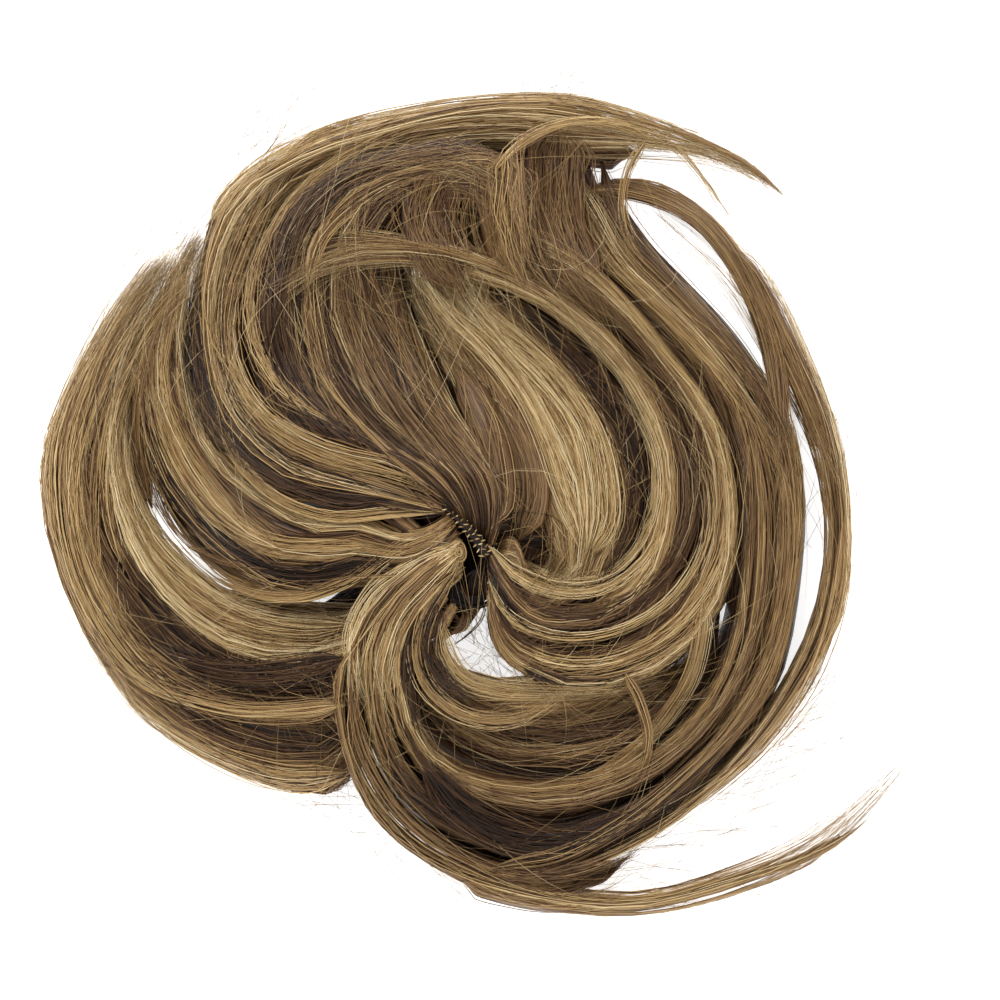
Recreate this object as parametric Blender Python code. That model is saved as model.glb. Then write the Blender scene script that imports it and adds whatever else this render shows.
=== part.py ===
# Top knot hairpiece: an oval elastic band with two sewn weft tracks round it,
# and swirling wefts of false hair whose locks are fused to the head they grow from.
# Metres, +Z up. It lies on a table, as it would by itself, with the band's hole upright.

import math
import random

import bmesh
import bpy
import numpy as np
from mathutils import Matrix, Vector

# Driving sizes
SPREAD = 0.108  # the plan's unit: the wefts' sections are shares of it
CROWN_HEIGHT = 0.046  # from the table to the top of the crown
HOLE_WIDTH = 0.0082  # the band's hole, squeezed to an oval by the hair
HOLE_LENGTH = 0.0190
BAND_WALL = 0.0020
BAND_HEIGHT = 0.0120
BAND_EDGE_ROUND = 0.0006
BAND_LEAN = 10.0  # degrees that the oval is turned from the +Y axis
TRACK_WALL = 0.0012
TRACK_HEIGHT = 0.0046
TRACK_PITCH = 0.0052  # between the two rows of weft track
TRACK_EDGE_ROUND = 0.0003
HEAD_HEIGHT = 0.0044  # the bound root of each weft
HEAD_LENGTH = 0.0025
SEAT_GAP = 0.00035  # between any two pieces that touch
ROLL_WALL = 0.0007  # the rolled end of the weft, sewn on top of the band
ROLL_TURNS = 1.6
ROLL_CORE = 0.0004
ROLL_HEIGHT = 0.0034
SECTION_STEP = 0.009  # along a weft, between two sections of its mesh
SHARP_ANGLE = 50.0  # degrees between two faces, from which their edge is sharp

# Where things sit, as shares
BAND_LIFT_SHARE = 0.53  # of the crown height, to the band's lower edge
ROLL_ROUND_SHARE = 0.46  # of the way round the band, to the rolled end
ROLL_SEAT_SHARE = 0.10  # of the band's wall, from its inside, to the roll's middle
BAND_SIDES = 28
ROLL_STEPS_PER_TURN = 14

# The shape of a weft's section: a dome with a groove between each two locks
EDGE_SHARE = 0.40  # of the depth, the height of the section's two side edges
DOME_DROP = 0.45  # how much lower the dome is beside its edges
LOCK_WIDTH_RANGE = (0.7, 1.3)  # of the locks' mean width
GROOVE = 0.84  # height of a groove beside the crests at its sides
RAGGED = 0.07  # how much shorter the grooves are than the locks at the tips
TIP_START = 0.55  # share of the length where the locks begin to part

# Sections of each weft from the head outwards. The plan's columns are shares of
# SPREAD from the band's centre, +x right and +y up the picture; "inner" is the side
# that the swirl turns about. lift is the underside and depth the thickness, as
# shares of CROWN_HEIGHT.
#    inner x, inner y, outer x, outer y, lift, depth
CROWN_SECTIONS = (
    (0.060, 0.205, -0.205, 0.235, 0.62, 0.30),
    (-0.045, 0.375, -0.405, 0.315, 0.40, 0.35),
    (-0.130, 0.550, -0.522, 0.455, 0.12, 0.54),
    (-0.175, 0.675, -0.552, 0.640, 0.00, 0.64),
    (-0.185, 0.775, -0.518, 0.790, 0.02, 0.62),
    (-0.160, 0.860, -0.405, 0.925, 0.20, 0.44),
    (-0.085, 0.900, -0.215, 0.998, 0.44, 0.22),
    (0.005, 0.890, 0.010, 1.020, 0.58, 0.19),
    (0.050, 0.850, 0.110, 0.945, 0.64, 0.16),
    (0.070, 0.790, 0.140, 0.830, 0.65, 0.12),
    (0.080, 0.745, 0.090, 0.745, 0.64, 0.04),
)
UPPER_LEFT_SECTIONS = (
    (-0.245, 0.215, -0.280, 0.140, 0.53, 0.19),
    (-0.425, 0.300, -0.470, 0.160, 0.28, 0.26),
    (-0.538, 0.447, -0.655, 0.300, 0.09, 0.28),
    (-0.568, 0.640, -0.700, 0.550, 0.00, 0.30),
    (-0.533, 0.797, -0.675, 0.750, 0.00, 0.30),
    (-0.435, 0.932, -0.605, 0.920, 0.00, 0.28),
    (-0.335, 0.982, -0.440, 1.025, 0.00, 0.27),
    (-0.170, 1.028, -0.235, 1.092, 0.00, 0.26),
    (0.020, 1.038, 0.000, 1.145, 0.09, 0.25),
    (0.250, 1.012, 0.260, 1.160, 0.14, 0.24),
    (0.450, 1.010, 0.470, 1.100, 0.12, 0.18),
    (0.640, 0.988, 0.662, 1.016, 0.05, 0.12),
    (0.800, 0.905, 0.808, 0.915, 0.00, 0.03),
)
MIDDLE_LEFT_SECTIONS = (
    (-0.250, 0.115, -0.265, -0.055, 0.44, 0.22),
    (-0.425, 0.130, -0.455, -0.100, 0.19, 0.28),
    (-0.582, 0.225, -0.635, -0.015, 0.03, 0.30),
    (-0.678, 0.345, -0.765, 0.150, 0.00, 0.31),
    (-0.716, 0.500, -0.840, 0.365, 0.00, 0.31),
    (-0.706, 0.660, -0.815, 0.560, 0.00, 0.28),
    (-0.688, 0.765, -0.745, 0.725, 0.00, 0.18),
    (-0.665, 0.835, -0.672, 0.835, 0.00, 0.03),
)
OUTER_LEFT_SECTIONS = (
    (-0.210, -0.100, -0.175, -0.230, 0.26, 0.19),
    (-0.355, -0.118, -0.305, -0.550, 0.02, 0.25),
    (-0.575, -0.100, -0.540, -0.545, 0.00, 0.32),
    (-0.732, -0.002, -0.845, -0.360, 0.00, 0.32),
    (-0.815, 0.125, -1.030, -0.025, 0.00, 0.32),
    (-0.862, 0.290, -1.070, 0.250, 0.00, 0.32),
    (-0.862, 0.460, -0.988, 0.465, 0.00, 0.30),
    (-0.830, 0.590, -0.890, 0.625, 0.00, 0.26),
    (-0.782, 0.700, -0.800, 0.735, 0.00, 0.14),
    (-0.735, 0.785, -0.742, 0.788, 0.00, 0.03),
)
INNER_CURL_SECTIONS = (
    (0.150, -0.030, 0.150, -0.130, 0.30, 0.16),
    (0.200, -0.010, 0.295, -0.120, 0.14, 0.20),
    (0.180, 0.055, 0.390, -0.005, 0.03, 0.26),
    (0.120, 0.130, 0.437, 0.120, 0.00, 0.30),
    (0.045, 0.220, 0.440, 0.260, 0.00, 0.31),
    (-0.030, 0.340, 0.390, 0.398, 0.00, 0.31),
    (-0.080, 0.480, 0.290, 0.520, 0.00, 0.31),
    (-0.132, 0.600, 0.160, 0.618, 0.00, 0.30),
    (-0.160, 0.705, 0.070, 0.715, 0.00, 0.27),
    (-0.150, 0.800, 0.110, 0.800, 0.00, 0.22),
    (-0.100, 0.885, 0.125, 0.875, 0.00, 0.16),
    (-0.010, 0.955, 0.120, 0.940, 0.00, 0.10),
    (0.085, 0.995, 0.105, 0.985, 0.00, 0.03),
)
# The right sweep is shared by two wefts, and so is the front sweep
RIGHT_SWEEP = (
    (0.195, -0.110, 0.100, -0.240, 0.55, 0.22),
    (0.305, -0.110, 0.255, -0.325, 0.38, 0.25),
    (0.410, -0.030, 0.480, -0.265, 0.30, 0.27),
    (0.452, 0.100, 0.643, -0.080, 0.12, 0.29),
    (0.457, 0.260, 0.675, 0.140, 0.03, 0.30),
    (0.407, 0.400, 0.640, 0.330, 0.00, 0.30),
    (0.307, 0.527, 0.508, 0.518, 0.04, 0.29),
    (0.175, 0.632, 0.372, 0.670, 0.22, 0.26),
    (0.020, 0.700, 0.205, 0.790, 0.38, 0.22),
)
INNER_RIGHT_END = (
    (-0.160, 0.740, -0.130, 0.785, 0.60, 0.14),
    (-0.340, 0.720, -0.330, 0.770, 0.67, 0.11),
    (-0.462, 0.640, -0.475, 0.660, 0.645, 0.08),
    (-0.500, 0.585, -0.508, 0.588, 0.62, 0.03),
)
OUTER_RIGHT_END = ((-0.050, 0.820, -0.045, 0.828, 0.42, 0.04),)
FRONT_SWEEP = (
    (-0.145, -0.225, -0.260, -0.250, 0.54, 0.24),
    (-0.150, -0.350, -0.252, -0.410, 0.38, 0.28),
    (-0.085, -0.467, -0.195, -0.560, 0.28, 0.30),
    (0.045, -0.532, -0.040, -0.695, 0.04, 0.33),
    (0.225, -0.550, 0.170, -0.760, 0.00, 0.34),
    (0.415, -0.500, 0.425, -0.668, 0.00, 0.34),
    (0.568, -0.377, 0.605, -0.525, 0.00, 0.34),
    (0.660, -0.175, 0.765, -0.315, 0.00, 0.34),
    (0.687, 0.012, 0.825, -0.037, 0.00, 0.34),
    (0.688, 0.212, 0.830, 0.212, 0.00, 0.34),
    (0.655, 0.370, 0.790, 0.370, 0.00, 0.33),
    (0.530, 0.535, 0.645, 0.550, 0.00, 0.31),
    (0.393, 0.675, 0.508, 0.700, 0.00, 0.28),
    (0.232, 0.815, 0.405, 0.840, 0.00, 0.25),
    (0.140, 0.905, 0.400, 0.935, 0.00, 0.18),
)
INNER_FRONT_END = ((0.150, 1.000, 0.165, 1.000, 0.00, 0.04),)
OUTER_FRONT_END = ((0.370, 0.995, 0.380, 0.995, 0.00, 0.04),)
SMALL_FRONT_SECTIONS = (
    (-0.072, -0.190, -0.125, -0.235, 0.22, 0.20),
    (-0.045, -0.265, -0.138, -0.360, 0.06, 0.24),
    (0.045, -0.300, -0.058, -0.460, 0.00, 0.24),
    (0.210, -0.290, 0.215, -0.533, 0.00, 0.25),
    (0.405, -0.275, 0.448, -0.477, 0.00, 0.24),
    (0.560, -0.202, 0.598, -0.295, 0.00, 0.14),
    (0.638, -0.150, 0.646, -0.155, 0.00, 0.03),
)
LONG_RIGHT_SECTIONS = (
    (-0.268, -0.256, -0.298, -0.264, 0.54, 0.24),
    (-0.260, -0.416, -0.290, -0.428, 0.38, 0.27),
    (-0.203, -0.568, -0.227, -0.588, 0.28, 0.27),
    (-0.046, -0.705, -0.062, -0.733, 0.04, 0.28),
    (0.168, -0.771, 0.162, -0.798, 0.00, 0.28),
    (0.429, -0.680, 0.437, -0.708, 0.00, 0.28),
    (0.613, -0.534, 0.637, -0.557, 0.00, 0.28),
    (0.777, -0.325, 0.815, -0.350, 0.00, 0.27),
    (0.875, -0.105, 0.940, -0.125, 0.00, 0.26),
    (0.897, 0.087, 0.957, 0.082, 0.00, 0.26),
    (0.862, 0.287, 0.932, 0.287, 0.00, 0.26),
    (0.755, 0.500, 0.840, 0.535, 0.00, 0.25),
    (0.640, 0.695, 0.725, 0.740, 0.00, 0.22),
    (0.510, 0.815, 0.560, 0.870, 0.00, 0.16),
    (0.430, 0.900, 0.430, 0.920, 0.00, 0.05),
)
TAIL_SECTIONS = (
    (-0.305, -0.266, -0.330, -0.272, 0.54, 0.22),
    (-0.298, -0.431, -0.322, -0.441, 0.38, 0.24),
    (-0.234, -0.594, -0.257, -0.614, 0.28, 0.24),
    (-0.068, -0.742, -0.083, -0.775, 0.04, 0.25),
    (0.160, -0.808, 0.150, -0.868, 0.00, 0.25),
    (0.430, -0.838, 0.435, -0.890, 0.00, 0.22),
    (0.662, -0.775, 0.682, -0.835, 0.00, 0.18),
    (0.855, -0.687, 0.890, -0.742, 0.00, 0.13),
    (1.000, -0.577, 1.025, -0.607, 0.00, 0.08),
    (1.105, -0.472, 1.120, -0.482, 0.00, 0.03),
)

# Each weft: its sections, the part of their width that it takes (from inner 0 to
# outer 1), its own last sections, its track row, where its head's inner and outer
# ends lie as shares of the way round the band, its locks, and its shade.
WEFTS = (
    # name, sections, from, to, own end, row, head inner, head outer, locks, shade
    ("crown", CROWN_SECTIONS, 0.0, 1.0, (), "upper", 0.120, 0.370, 6, "warm_brown"),
    ("upper_left", UPPER_LEFT_SECTIONS, 0.0, 1.0, (), "upper", 0.385, 0.430, 4, "ash_brown"),
    ("middle_left", MIDDLE_LEFT_SECTIONS, 0.0, 1.0, (), "upper", 0.440, 0.535, 5, "blonde"),
    ("outer_left", OUTER_LEFT_SECTIONS, 0.0, 1.0, (), "lower", 0.490, 0.620, 6, "ash_brown"),
    ("inner_curl", INNER_CURL_SECTIONS, 0.0, 1.0, (), "lower", 1.050, 0.950, 5, "blonde"),
    ("inner_right", RIGHT_SWEEP, 0.0, 0.48, INNER_RIGHT_END, "upper", 0.955, 0.880, 3, "blonde"),
    ("outer_right", RIGHT_SWEEP, 0.52, 1.0, OUTER_RIGHT_END, "upper", 0.870, 0.820, 3, "ash_brown"),
    ("small_front", SMALL_FRONT_SECTIONS, 0.0, 1.0, (), "lower", 0.720, 0.690, 3, "blonde"),
    ("inner_front", FRONT_SWEEP, 0.0, 0.46, INNER_FRONT_END, "upper", 0.675, 0.639, 3, "warm_brown"),
    ("outer_front", FRONT_SWEEP, 0.54, 0.985, OUTER_FRONT_END, "upper", 0.629, 0.593, 3, "ash_brown"),
    ("long_right", LONG_RIGHT_SECTIONS, 0.0, 1.0, (), "upper", 0.585, 0.565, 2, "warm_brown"),
    ("tail", TAIL_SECTIONS, 0.0, 1.0, (), "upper", 0.557, 0.544, 2, "blonde"),
)

# Colour and roughness
SHADES = {
    "blonde": ((0.47, 0.31, 0.13), 0.42),
    "ash_brown": ((0.28, 0.18, 0.085), 0.45),
    "warm_brown": ((0.20, 0.115, 0.065), 0.45),
    "elastic": ((0.012, 0.011, 0.012), 0.80),
    "thread": ((0.025, 0.022, 0.020), 0.70),
}

# Sizes that follow
hole_radius = HOLE_WIDTH / 2
straight_half = (HOLE_LENGTH - HOLE_WIDTH) / 2
band_outside = BAND_WALL
track_inside = band_outside + SEAT_GAP
track_outside = track_inside + TRACK_WALL
head_inside = track_outside + SEAT_GAP
band_bottom = BAND_LIFT_SHARE * CROWN_HEIGHT
band_middle = band_bottom + BAND_HEIGHT / 2
ROW_MIDDLES = {
    "upper": band_middle + TRACK_PITCH / 2,
    "lower": band_middle - TRACK_PITCH / 2,
}


def clear_scene():
    for thing in list(bpy.data.objects):
        bpy.data.objects.remove(thing)


def finish_of(shade):
    """The Principled material of one shade, made once."""
    material = bpy.data.materials.get(shade)
    if material is None:
        colour, roughness = SHADES[shade]
        material = bpy.data.materials.new(shade)
        material.use_nodes = True
        shader = material.node_tree.nodes["Principled BSDF"]
        shader.inputs["Base Color"].default_value = (*colour, 1.0)
        shader.inputs["Roughness"].default_value = roughness
        shader.inputs["Metallic"].default_value = 0.0
        material.diffuse_color = (*colour, 1.0)
    return material


def object_from(name, bm, shade, origin):
    """A named object from a bmesh, its faces turned out, smooth, on the piece's origin."""
    bmesh.ops.recalc_face_normals(bm, faces=bm.faces)
    mesh = bpy.data.meshes.new(name)
    bm.to_mesh(mesh)
    bm.free()
    mesh.shade_smooth()
    mesh.set_sharp_from_angle(angle=math.radians(SHARP_ANGLE))
    mesh.materials.append(finish_of(shade))
    thing = bpy.data.objects.new(name, mesh)
    bpy.context.scene.collection.objects.link(thing)
    thing.parent = origin
    return thing


def oval_point(share, offset):
    """The point at a share of the way round the oval that lies offset outside the
    hole's wall. Share 0 is the middle of the right side, and it runs anticlockwise."""
    radius = hole_radius + offset
    half_round = math.pi * radius
    side = 2 * straight_half
    way = (share % 1.0) * 2 * (half_round + side)
    if way < straight_half:
        x, y = radius, way
    elif way < straight_half + half_round:
        angle = (way - straight_half) / radius
        x, y = radius * math.cos(angle), straight_half + radius * math.sin(angle)
    elif way < straight_half + half_round + side:
        x, y = -radius, straight_half - (way - straight_half - half_round)
    elif way < straight_half + 2 * half_round + side:
        angle = math.pi + (way - straight_half - half_round - side) / radius
        x, y = radius * math.cos(angle), -straight_half + radius * math.sin(angle)
    else:
        x, y = radius, way - 2 * (half_round + side)
    lean = math.radians(BAND_LEAN)
    return Vector((
        x * math.cos(lean) - y * math.sin(lean),
        x * math.sin(lean) + y * math.cos(lean),
    ))


def oval_ring(name, inside, outside, bottom, top, edge_round, shade, origin):
    """A closed oval loop of rectangular section with its four edges bevelled."""
    bm = bmesh.new()
    corners = []
    for step in range(BAND_SIDES):
        share = step / BAND_SIDES
        near, far = oval_point(share, inside), oval_point(share, outside)
        corners.append([
            bm.verts.new((near.x, near.y, bottom)),
            bm.verts.new((far.x, far.y, bottom)),
            bm.verts.new((far.x, far.y, top)),
            bm.verts.new((near.x, near.y, top)),
        ])
    for here, there in zip(corners, corners[1:] + corners[:1]):
        for side in range(4):
            other = (side + 1) % 4
            bm.faces.new((here[side], here[other], there[other], there[side]))
    loop = object_from(name, bm, shade, origin)
    bevel = loop.modifiers.new("rounded_edges", "BEVEL")
    bevel.width = edge_round
    bevel.segments = 1
    bevel.limit_method = "ANGLE"
    bevel.angle_limit = math.radians(SHARP_ANGLE)
    return loop


def rolled_end(name, shade, origin):
    """The weft's end, rolled up and sewn on top of the band: a spiral strip on end."""
    pitch = ROLL_WALL + SEAT_GAP
    steps = math.ceil(ROLL_TURNS * ROLL_STEPS_PER_TURN)
    centre = oval_point(ROLL_ROUND_SHARE, ROLL_SEAT_SHARE * BAND_WALL)
    bottom = band_bottom + BAND_HEIGHT + SEAT_GAP
    outline = []
    for wall in (0.0, ROLL_WALL):
        side = []
        for step in range(steps + 1):
            turn = step / ROLL_STEPS_PER_TURN
            radius = ROLL_CORE + wall + pitch * turn
            angle = 2 * math.pi * turn
            side.append((centre.x + radius * math.cos(angle), centre.y + radius * math.sin(angle)))
        outline.append(side)
    bm = bmesh.new()
    levels = []
    for height in (bottom, bottom + ROLL_HEIGHT):
        levels.append([[bm.verts.new((x, y, height)) for x, y in side] for side in outline])
    (low_in, low_out), (high_in, high_out) = levels
    for k in range(steps):
        bm.faces.new((low_in[k], low_in[k + 1], low_out[k + 1], low_out[k]))
        bm.faces.new((high_in[k], high_out[k], high_out[k + 1], high_in[k + 1]))
        bm.faces.new((low_in[k], high_in[k], high_in[k + 1], low_in[k + 1]))
        bm.faces.new((low_out[k], low_out[k + 1], high_out[k + 1], high_out[k]))
    for k in (0, steps):
        bm.faces.new((low_in[k], low_out[k], high_out[k], high_in[k]))
    return object_from(name, bm, shade, origin)


def smooth_through(knots, at, values):
    """A smooth curve through values at the knots, read at the places in at."""
    slopes = np.diff(values, axis=0) / np.diff(knots)[:, None]
    spans = np.diff(knots)
    before, after = spans[:-1, None], spans[1:, None]
    inner = (slopes[1:] * before + slopes[:-1] * after) / (before + after)
    tangents = np.concatenate([slopes[:1], inner, slopes[-1:]])
    index = np.clip(np.searchsorted(knots, at, side="right") - 1, 0, len(spans) - 1)
    span = spans[index][:, None]
    t = ((at - knots[index]) / spans[index])[:, None]
    return (
        values[index] * (1 + 2 * t) * (1 - t) ** 2
        + tangents[index] * span * t * (1 - t) ** 2
        + values[index + 1] * t * t * (3 - 2 * t)
        + tangents[index + 1] * span * t * t * (t - 1)
    )


def lane_places(name, locks):
    """Shares across a weft for its edges, crests and grooves, its locks uneven in width."""
    chance = random.Random(name)
    widths = [chance.uniform(*LOCK_WIDTH_RANGE) for _ in range(2 * locks)]
    return np.concatenate([[0], np.cumsum(widths)]) / sum(widths)


def weft_knots(sections, share_from, share_to, own_end, row, head_inner, head_outer, lanes):
    """The weft's knots in metres, one list of (x, y, lift, depth) for each lane across
    it: the head on the track, the head's outer side, and then its sections."""
    head_lift = ROW_MIDDLES[row] - HEAD_HEIGHT / 2
    heads = []
    for offset in (head_inside, head_inside + HEAD_LENGTH):
        points = [oval_point(head_inner + (head_outer - head_inner) * lane, offset) for lane in lanes]
        heads.append([(p.x, p.y, head_lift, HEAD_HEIGHT) for p in points])
    taken = [(row_of, share_from, share_to) for row_of in sections]
    taken += [(row_of, 0.0, 1.0) for row_of in own_end]
    body = []
    for (inner_x, inner_y, outer_x, outer_y, lift, depth), start, end in taken:
        across = [start + (end - start) * lane for lane in lanes]
        body.append([
            (
                (inner_x + (outer_x - inner_x) * share) * SPREAD,
                (inner_y + (outer_y - inner_y) * share) * SPREAD,
                lift * CROWN_HEIGHT,
                depth * CROWN_HEIGHT,
            )
            for share in across
        ])
    return np.array(heads + body)


def weft(name, sections, share_from, share_to, own_end, row, head_inner, head_outer, locks, shade, origin):
    """One weft: its locks and the head that they are fused to, as one closed loft."""
    lanes = lane_places("weft_" + name, locks)
    last_lane = len(lanes) - 1
    knots = weft_knots(sections, share_from, share_to, own_end, row, head_inner, head_outer, lanes)
    middle = knots[:, locks, :3]
    places = np.concatenate([[0], np.cumsum(np.linalg.norm(np.diff(middle, axis=0), axis=1))])
    free = places[-1] - places[1]
    stations = np.concatenate([
        [0], np.linspace(places[1], places[-1], math.ceil(free / SECTION_STEP) + 1),
    ])
    way = stations / stations[-1]
    parting = RAGGED * np.clip((way - TIP_START) / (1 - TIP_START), 0, 1) ** 2
    bm = bmesh.new()
    tops, unders = [], []
    for lane, share in enumerate(lanes):
        groove = lane % 2 == 0 and 0 < lane < last_lane
        at = stations * (1 - parting * groove)
        x, y, lift, depth = smooth_through(places, at, knots[:, lane]).T
        lift = np.maximum(lift, 0)
        height = 1 - DOME_DROP * (2 * share - 1) ** 4
        in_head = at <= places[1]
        height = height * np.where(in_head, 1, GROOVE if groove else 1)
        if lane in (0, last_lane):
            edge = [bm.verts.new(p) for p in zip(x, y, lift + EDGE_SHARE * depth)]
            tops.append(edge)
            unders.append(edge)
            continue
        tops.append([bm.verts.new(p) for p in zip(x, y, lift + height * depth)])
        unders.append([bm.verts.new(p) for p in zip(x, y, lift)])
    last = len(stations) - 1
    for lane in range(last_lane):
        top, next_top = tops[lane], tops[lane + 1]
        under, next_under = unders[lane], unders[lane + 1]
        for k in range(last):
            bm.faces.new((top[k], next_top[k], next_top[k + 1], top[k + 1]))
            bm.faces.new((under[k], under[k + 1], next_under[k + 1], next_under[k]))
        for k in (0, last):
            rim = [top[k], next_top[k], next_under[k], under[k]]
            bm.faces.new(list(dict.fromkeys(rim)))
    return object_from("weft_" + name, bm, shade, origin)


def plan_middle(things):
    """The middle of the box round the things, in plan."""
    corners = [v.co for thing in things for v in thing.data.vertices]
    xs, ys = [p.x for p in corners], [p.y for p in corners]
    return Vector(((min(xs) + max(xs)) / 2, (min(ys) + max(ys)) / 2, 0))


def build():
    clear_scene()
    origin = bpy.data.objects.new("hairpiece_origin", None)
    bpy.context.scene.collection.objects.link(origin)
    oval_ring(
        "elastic_band", 0.0, band_outside, band_bottom, band_bottom + BAND_HEIGHT,
        BAND_EDGE_ROUND, "elastic", origin,
    )
    for row, middle in ROW_MIDDLES.items():
        oval_ring(
            "weft_track_" + row, track_inside, track_outside, middle - TRACK_HEIGHT / 2,
            middle + TRACK_HEIGHT / 2, TRACK_EDGE_ROUND, "thread", origin,
        )
    rolled_end("weft_end_roll", "blonde", origin)
    hair = [weft(name, *rest, origin) for name, *rest in WEFTS]
    origin.matrix_world = Matrix.Translation(-plan_middle(hair))


build()
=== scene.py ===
# The looks of the top knot hairpiece: each weft gets a streaked body under a coat of
# strands, and loose wisps, flyaway hairs, stitches and thread ends lie over them.

import math

import bpy
import numpy as np
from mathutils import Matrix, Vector


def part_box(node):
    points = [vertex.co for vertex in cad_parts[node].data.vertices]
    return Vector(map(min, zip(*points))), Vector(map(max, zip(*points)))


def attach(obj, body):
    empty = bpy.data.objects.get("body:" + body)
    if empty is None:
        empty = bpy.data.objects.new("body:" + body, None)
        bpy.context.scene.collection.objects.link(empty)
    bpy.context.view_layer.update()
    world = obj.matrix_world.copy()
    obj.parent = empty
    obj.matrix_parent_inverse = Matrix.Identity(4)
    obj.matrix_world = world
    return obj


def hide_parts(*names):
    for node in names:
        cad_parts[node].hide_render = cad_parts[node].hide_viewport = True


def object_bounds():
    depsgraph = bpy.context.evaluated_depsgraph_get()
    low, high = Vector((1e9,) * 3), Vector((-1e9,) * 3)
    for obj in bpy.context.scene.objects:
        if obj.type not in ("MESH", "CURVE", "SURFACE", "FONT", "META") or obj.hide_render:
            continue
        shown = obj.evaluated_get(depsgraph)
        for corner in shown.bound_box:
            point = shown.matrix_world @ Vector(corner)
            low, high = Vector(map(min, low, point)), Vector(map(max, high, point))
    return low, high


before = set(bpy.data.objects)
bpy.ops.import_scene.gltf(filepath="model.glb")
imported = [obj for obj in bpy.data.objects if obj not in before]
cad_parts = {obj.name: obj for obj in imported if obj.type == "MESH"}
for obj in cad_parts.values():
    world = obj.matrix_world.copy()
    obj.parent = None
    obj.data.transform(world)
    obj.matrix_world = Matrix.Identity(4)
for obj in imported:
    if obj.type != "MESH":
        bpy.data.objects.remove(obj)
cad_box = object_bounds()

BODY = "root"
SEED = 7
TINY = 1e-12  # keeps a division by a length of nothing from failing
THOUSAND = 1000  # tables of sections and roots are in thousandths
HUNDRED = 100  # the other tables are in hundredths
TENTHS_PER_METRE = 10000  # and widths of locks in tenths of a millimetre

# Driving sizes, as in the part
SPREAD = 0.108
CROWN_HEIGHT = 0.046
HOLE_WIDTH = 0.0082
HOLE_LENGTH = 0.0190
BAND_WALL = 0.0020
BAND_LEAN = 10.0
TRACK_WALL = 0.0012
SEAT_GAP = 0.00035
HEAD_HEIGHT = 0.0044
HEAD_LENGTH = 0.0025

# The shape of a weft's section
EDGE_SHARE = 0.40
DOME_DROP = 0.45
RIM_RUN = 0.16  # share of the width over which the dome rounds off at each side
GRID_STATIONS = 140
GRID_LANES = 12

# A weft's body, inside its coat: shares are of its length or depth
CORE_INSET = 0.0005
CORE_TIP = 0.25  # share of the length over which the body draws in to its end
CORE_TIP_LEAST = 0.02
CORE_TIP_ROUNDING = 0.8
CORE_TIP_DEPTH = 0.4
CORE_LEAST_DEPTH = 0.3
CORE_LIP = 0.08  # share of the width over which its underside curls up to the rims
# Painted shade: the body is darkened as hair lying deeper, under the coat
CORE_PAINTED_SHADE = 0.14  # how much darker the body is than its coat
WEFT_CELLS = (50, 24)  # along, across
UNDER_CELLS = (40, 12)
LOCK_CELLS = (36, 8)

# Random waves that strands sway by
WAVE_WEIGHTS = (0.6, 0.3, 0.15)
WAVE_SPEEDS = (0.6, 1.4)

# The coat: strands lie in locks, and each lock stands a little proud
STRAND_RADIUS = 0.00015
STRAND_SIZES = (0.7, 1.15)
STRAND_SHADES = 0.17  # how much single strands differ in lightness
STRAND_WANDER = (0.008, 0.018)  # least and mean of the rest, in widths of the weft
# Each taper is the share of the length over which a strand thins, and its least size
STRAND_START = (0.02, 0.6)
STRAND_END = (0.25, 0.25)
LEAST_STRANDS = 40
MOST_SHORTFALL = 0.4  # share of the length by which a strand ends before its weft
LOCK_SWAY_TURNS = 1.2
OWN_SWAY_TURNS = 1.5
LOCK_SWAY = 0.5  # in widths of the lock
LOCK_SWAY_RUN = 0.25  # share of the length over which it sets in
STRANDS_PER_METRE = 16500  # of a weft's mean width
STRAND_STEP = 0.0125  # along a strand, between two of its stations
RIM_STRANDS = 0.14  # share of the strands that lie on the weft's rims
RIM_OVERHANG = 0.01
RIM_LEVELS = (0.1, 1.0)  # of the dome's height there
COAT_OVERHANG = 0.03
RISE_RUN = 0.06  # share of the length over which locks rise from the head
ROOT_STATIONS = 5
ROOT_SHARE = 0.10  # of a weft's length, where its strands come down from the band
ROOT_RISE = 0.0009  # of the strands over the band
ROOT_SCATTER = 0.00035
# Painted shade: strands are darkened where they leave the band, for the shade at the roots
ROOT_PAINTED_SHADE = 0.12  # how much darker strands start
ROOT_PAINTED_SHADE_RUN = 0.08
LOCK_RELIEF = 0.0015
LOCK_WIDTH = 0.0042
LOCK_SIZES = (0.6, 1.5)
LOCK_ENDS = (0.96, 1.0)
LOCK_FILL = 0.62  # how far from its middle a lock's strands lie, in its widths
LOCK_SHADES = 0.12
# Painted shade: strands at a lock's edges are darkened, for the shade in the creases between locks
LOCK_EDGE_PAINTED_SHADE = 0.18  # how much darker the strands between locks are
LOOSE_HEIGHT = 0.0013  # how far strands and locks stand up
STAND_MEAN = 0.5  # how single strands stand up, in shares of LOOSE_HEIGHT
STAND_SWAY = 0.35
STAND_TURNS = 2
PINCH = 0.35
FAN_START = 0.6  # share of the length from which strands fan out

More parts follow.
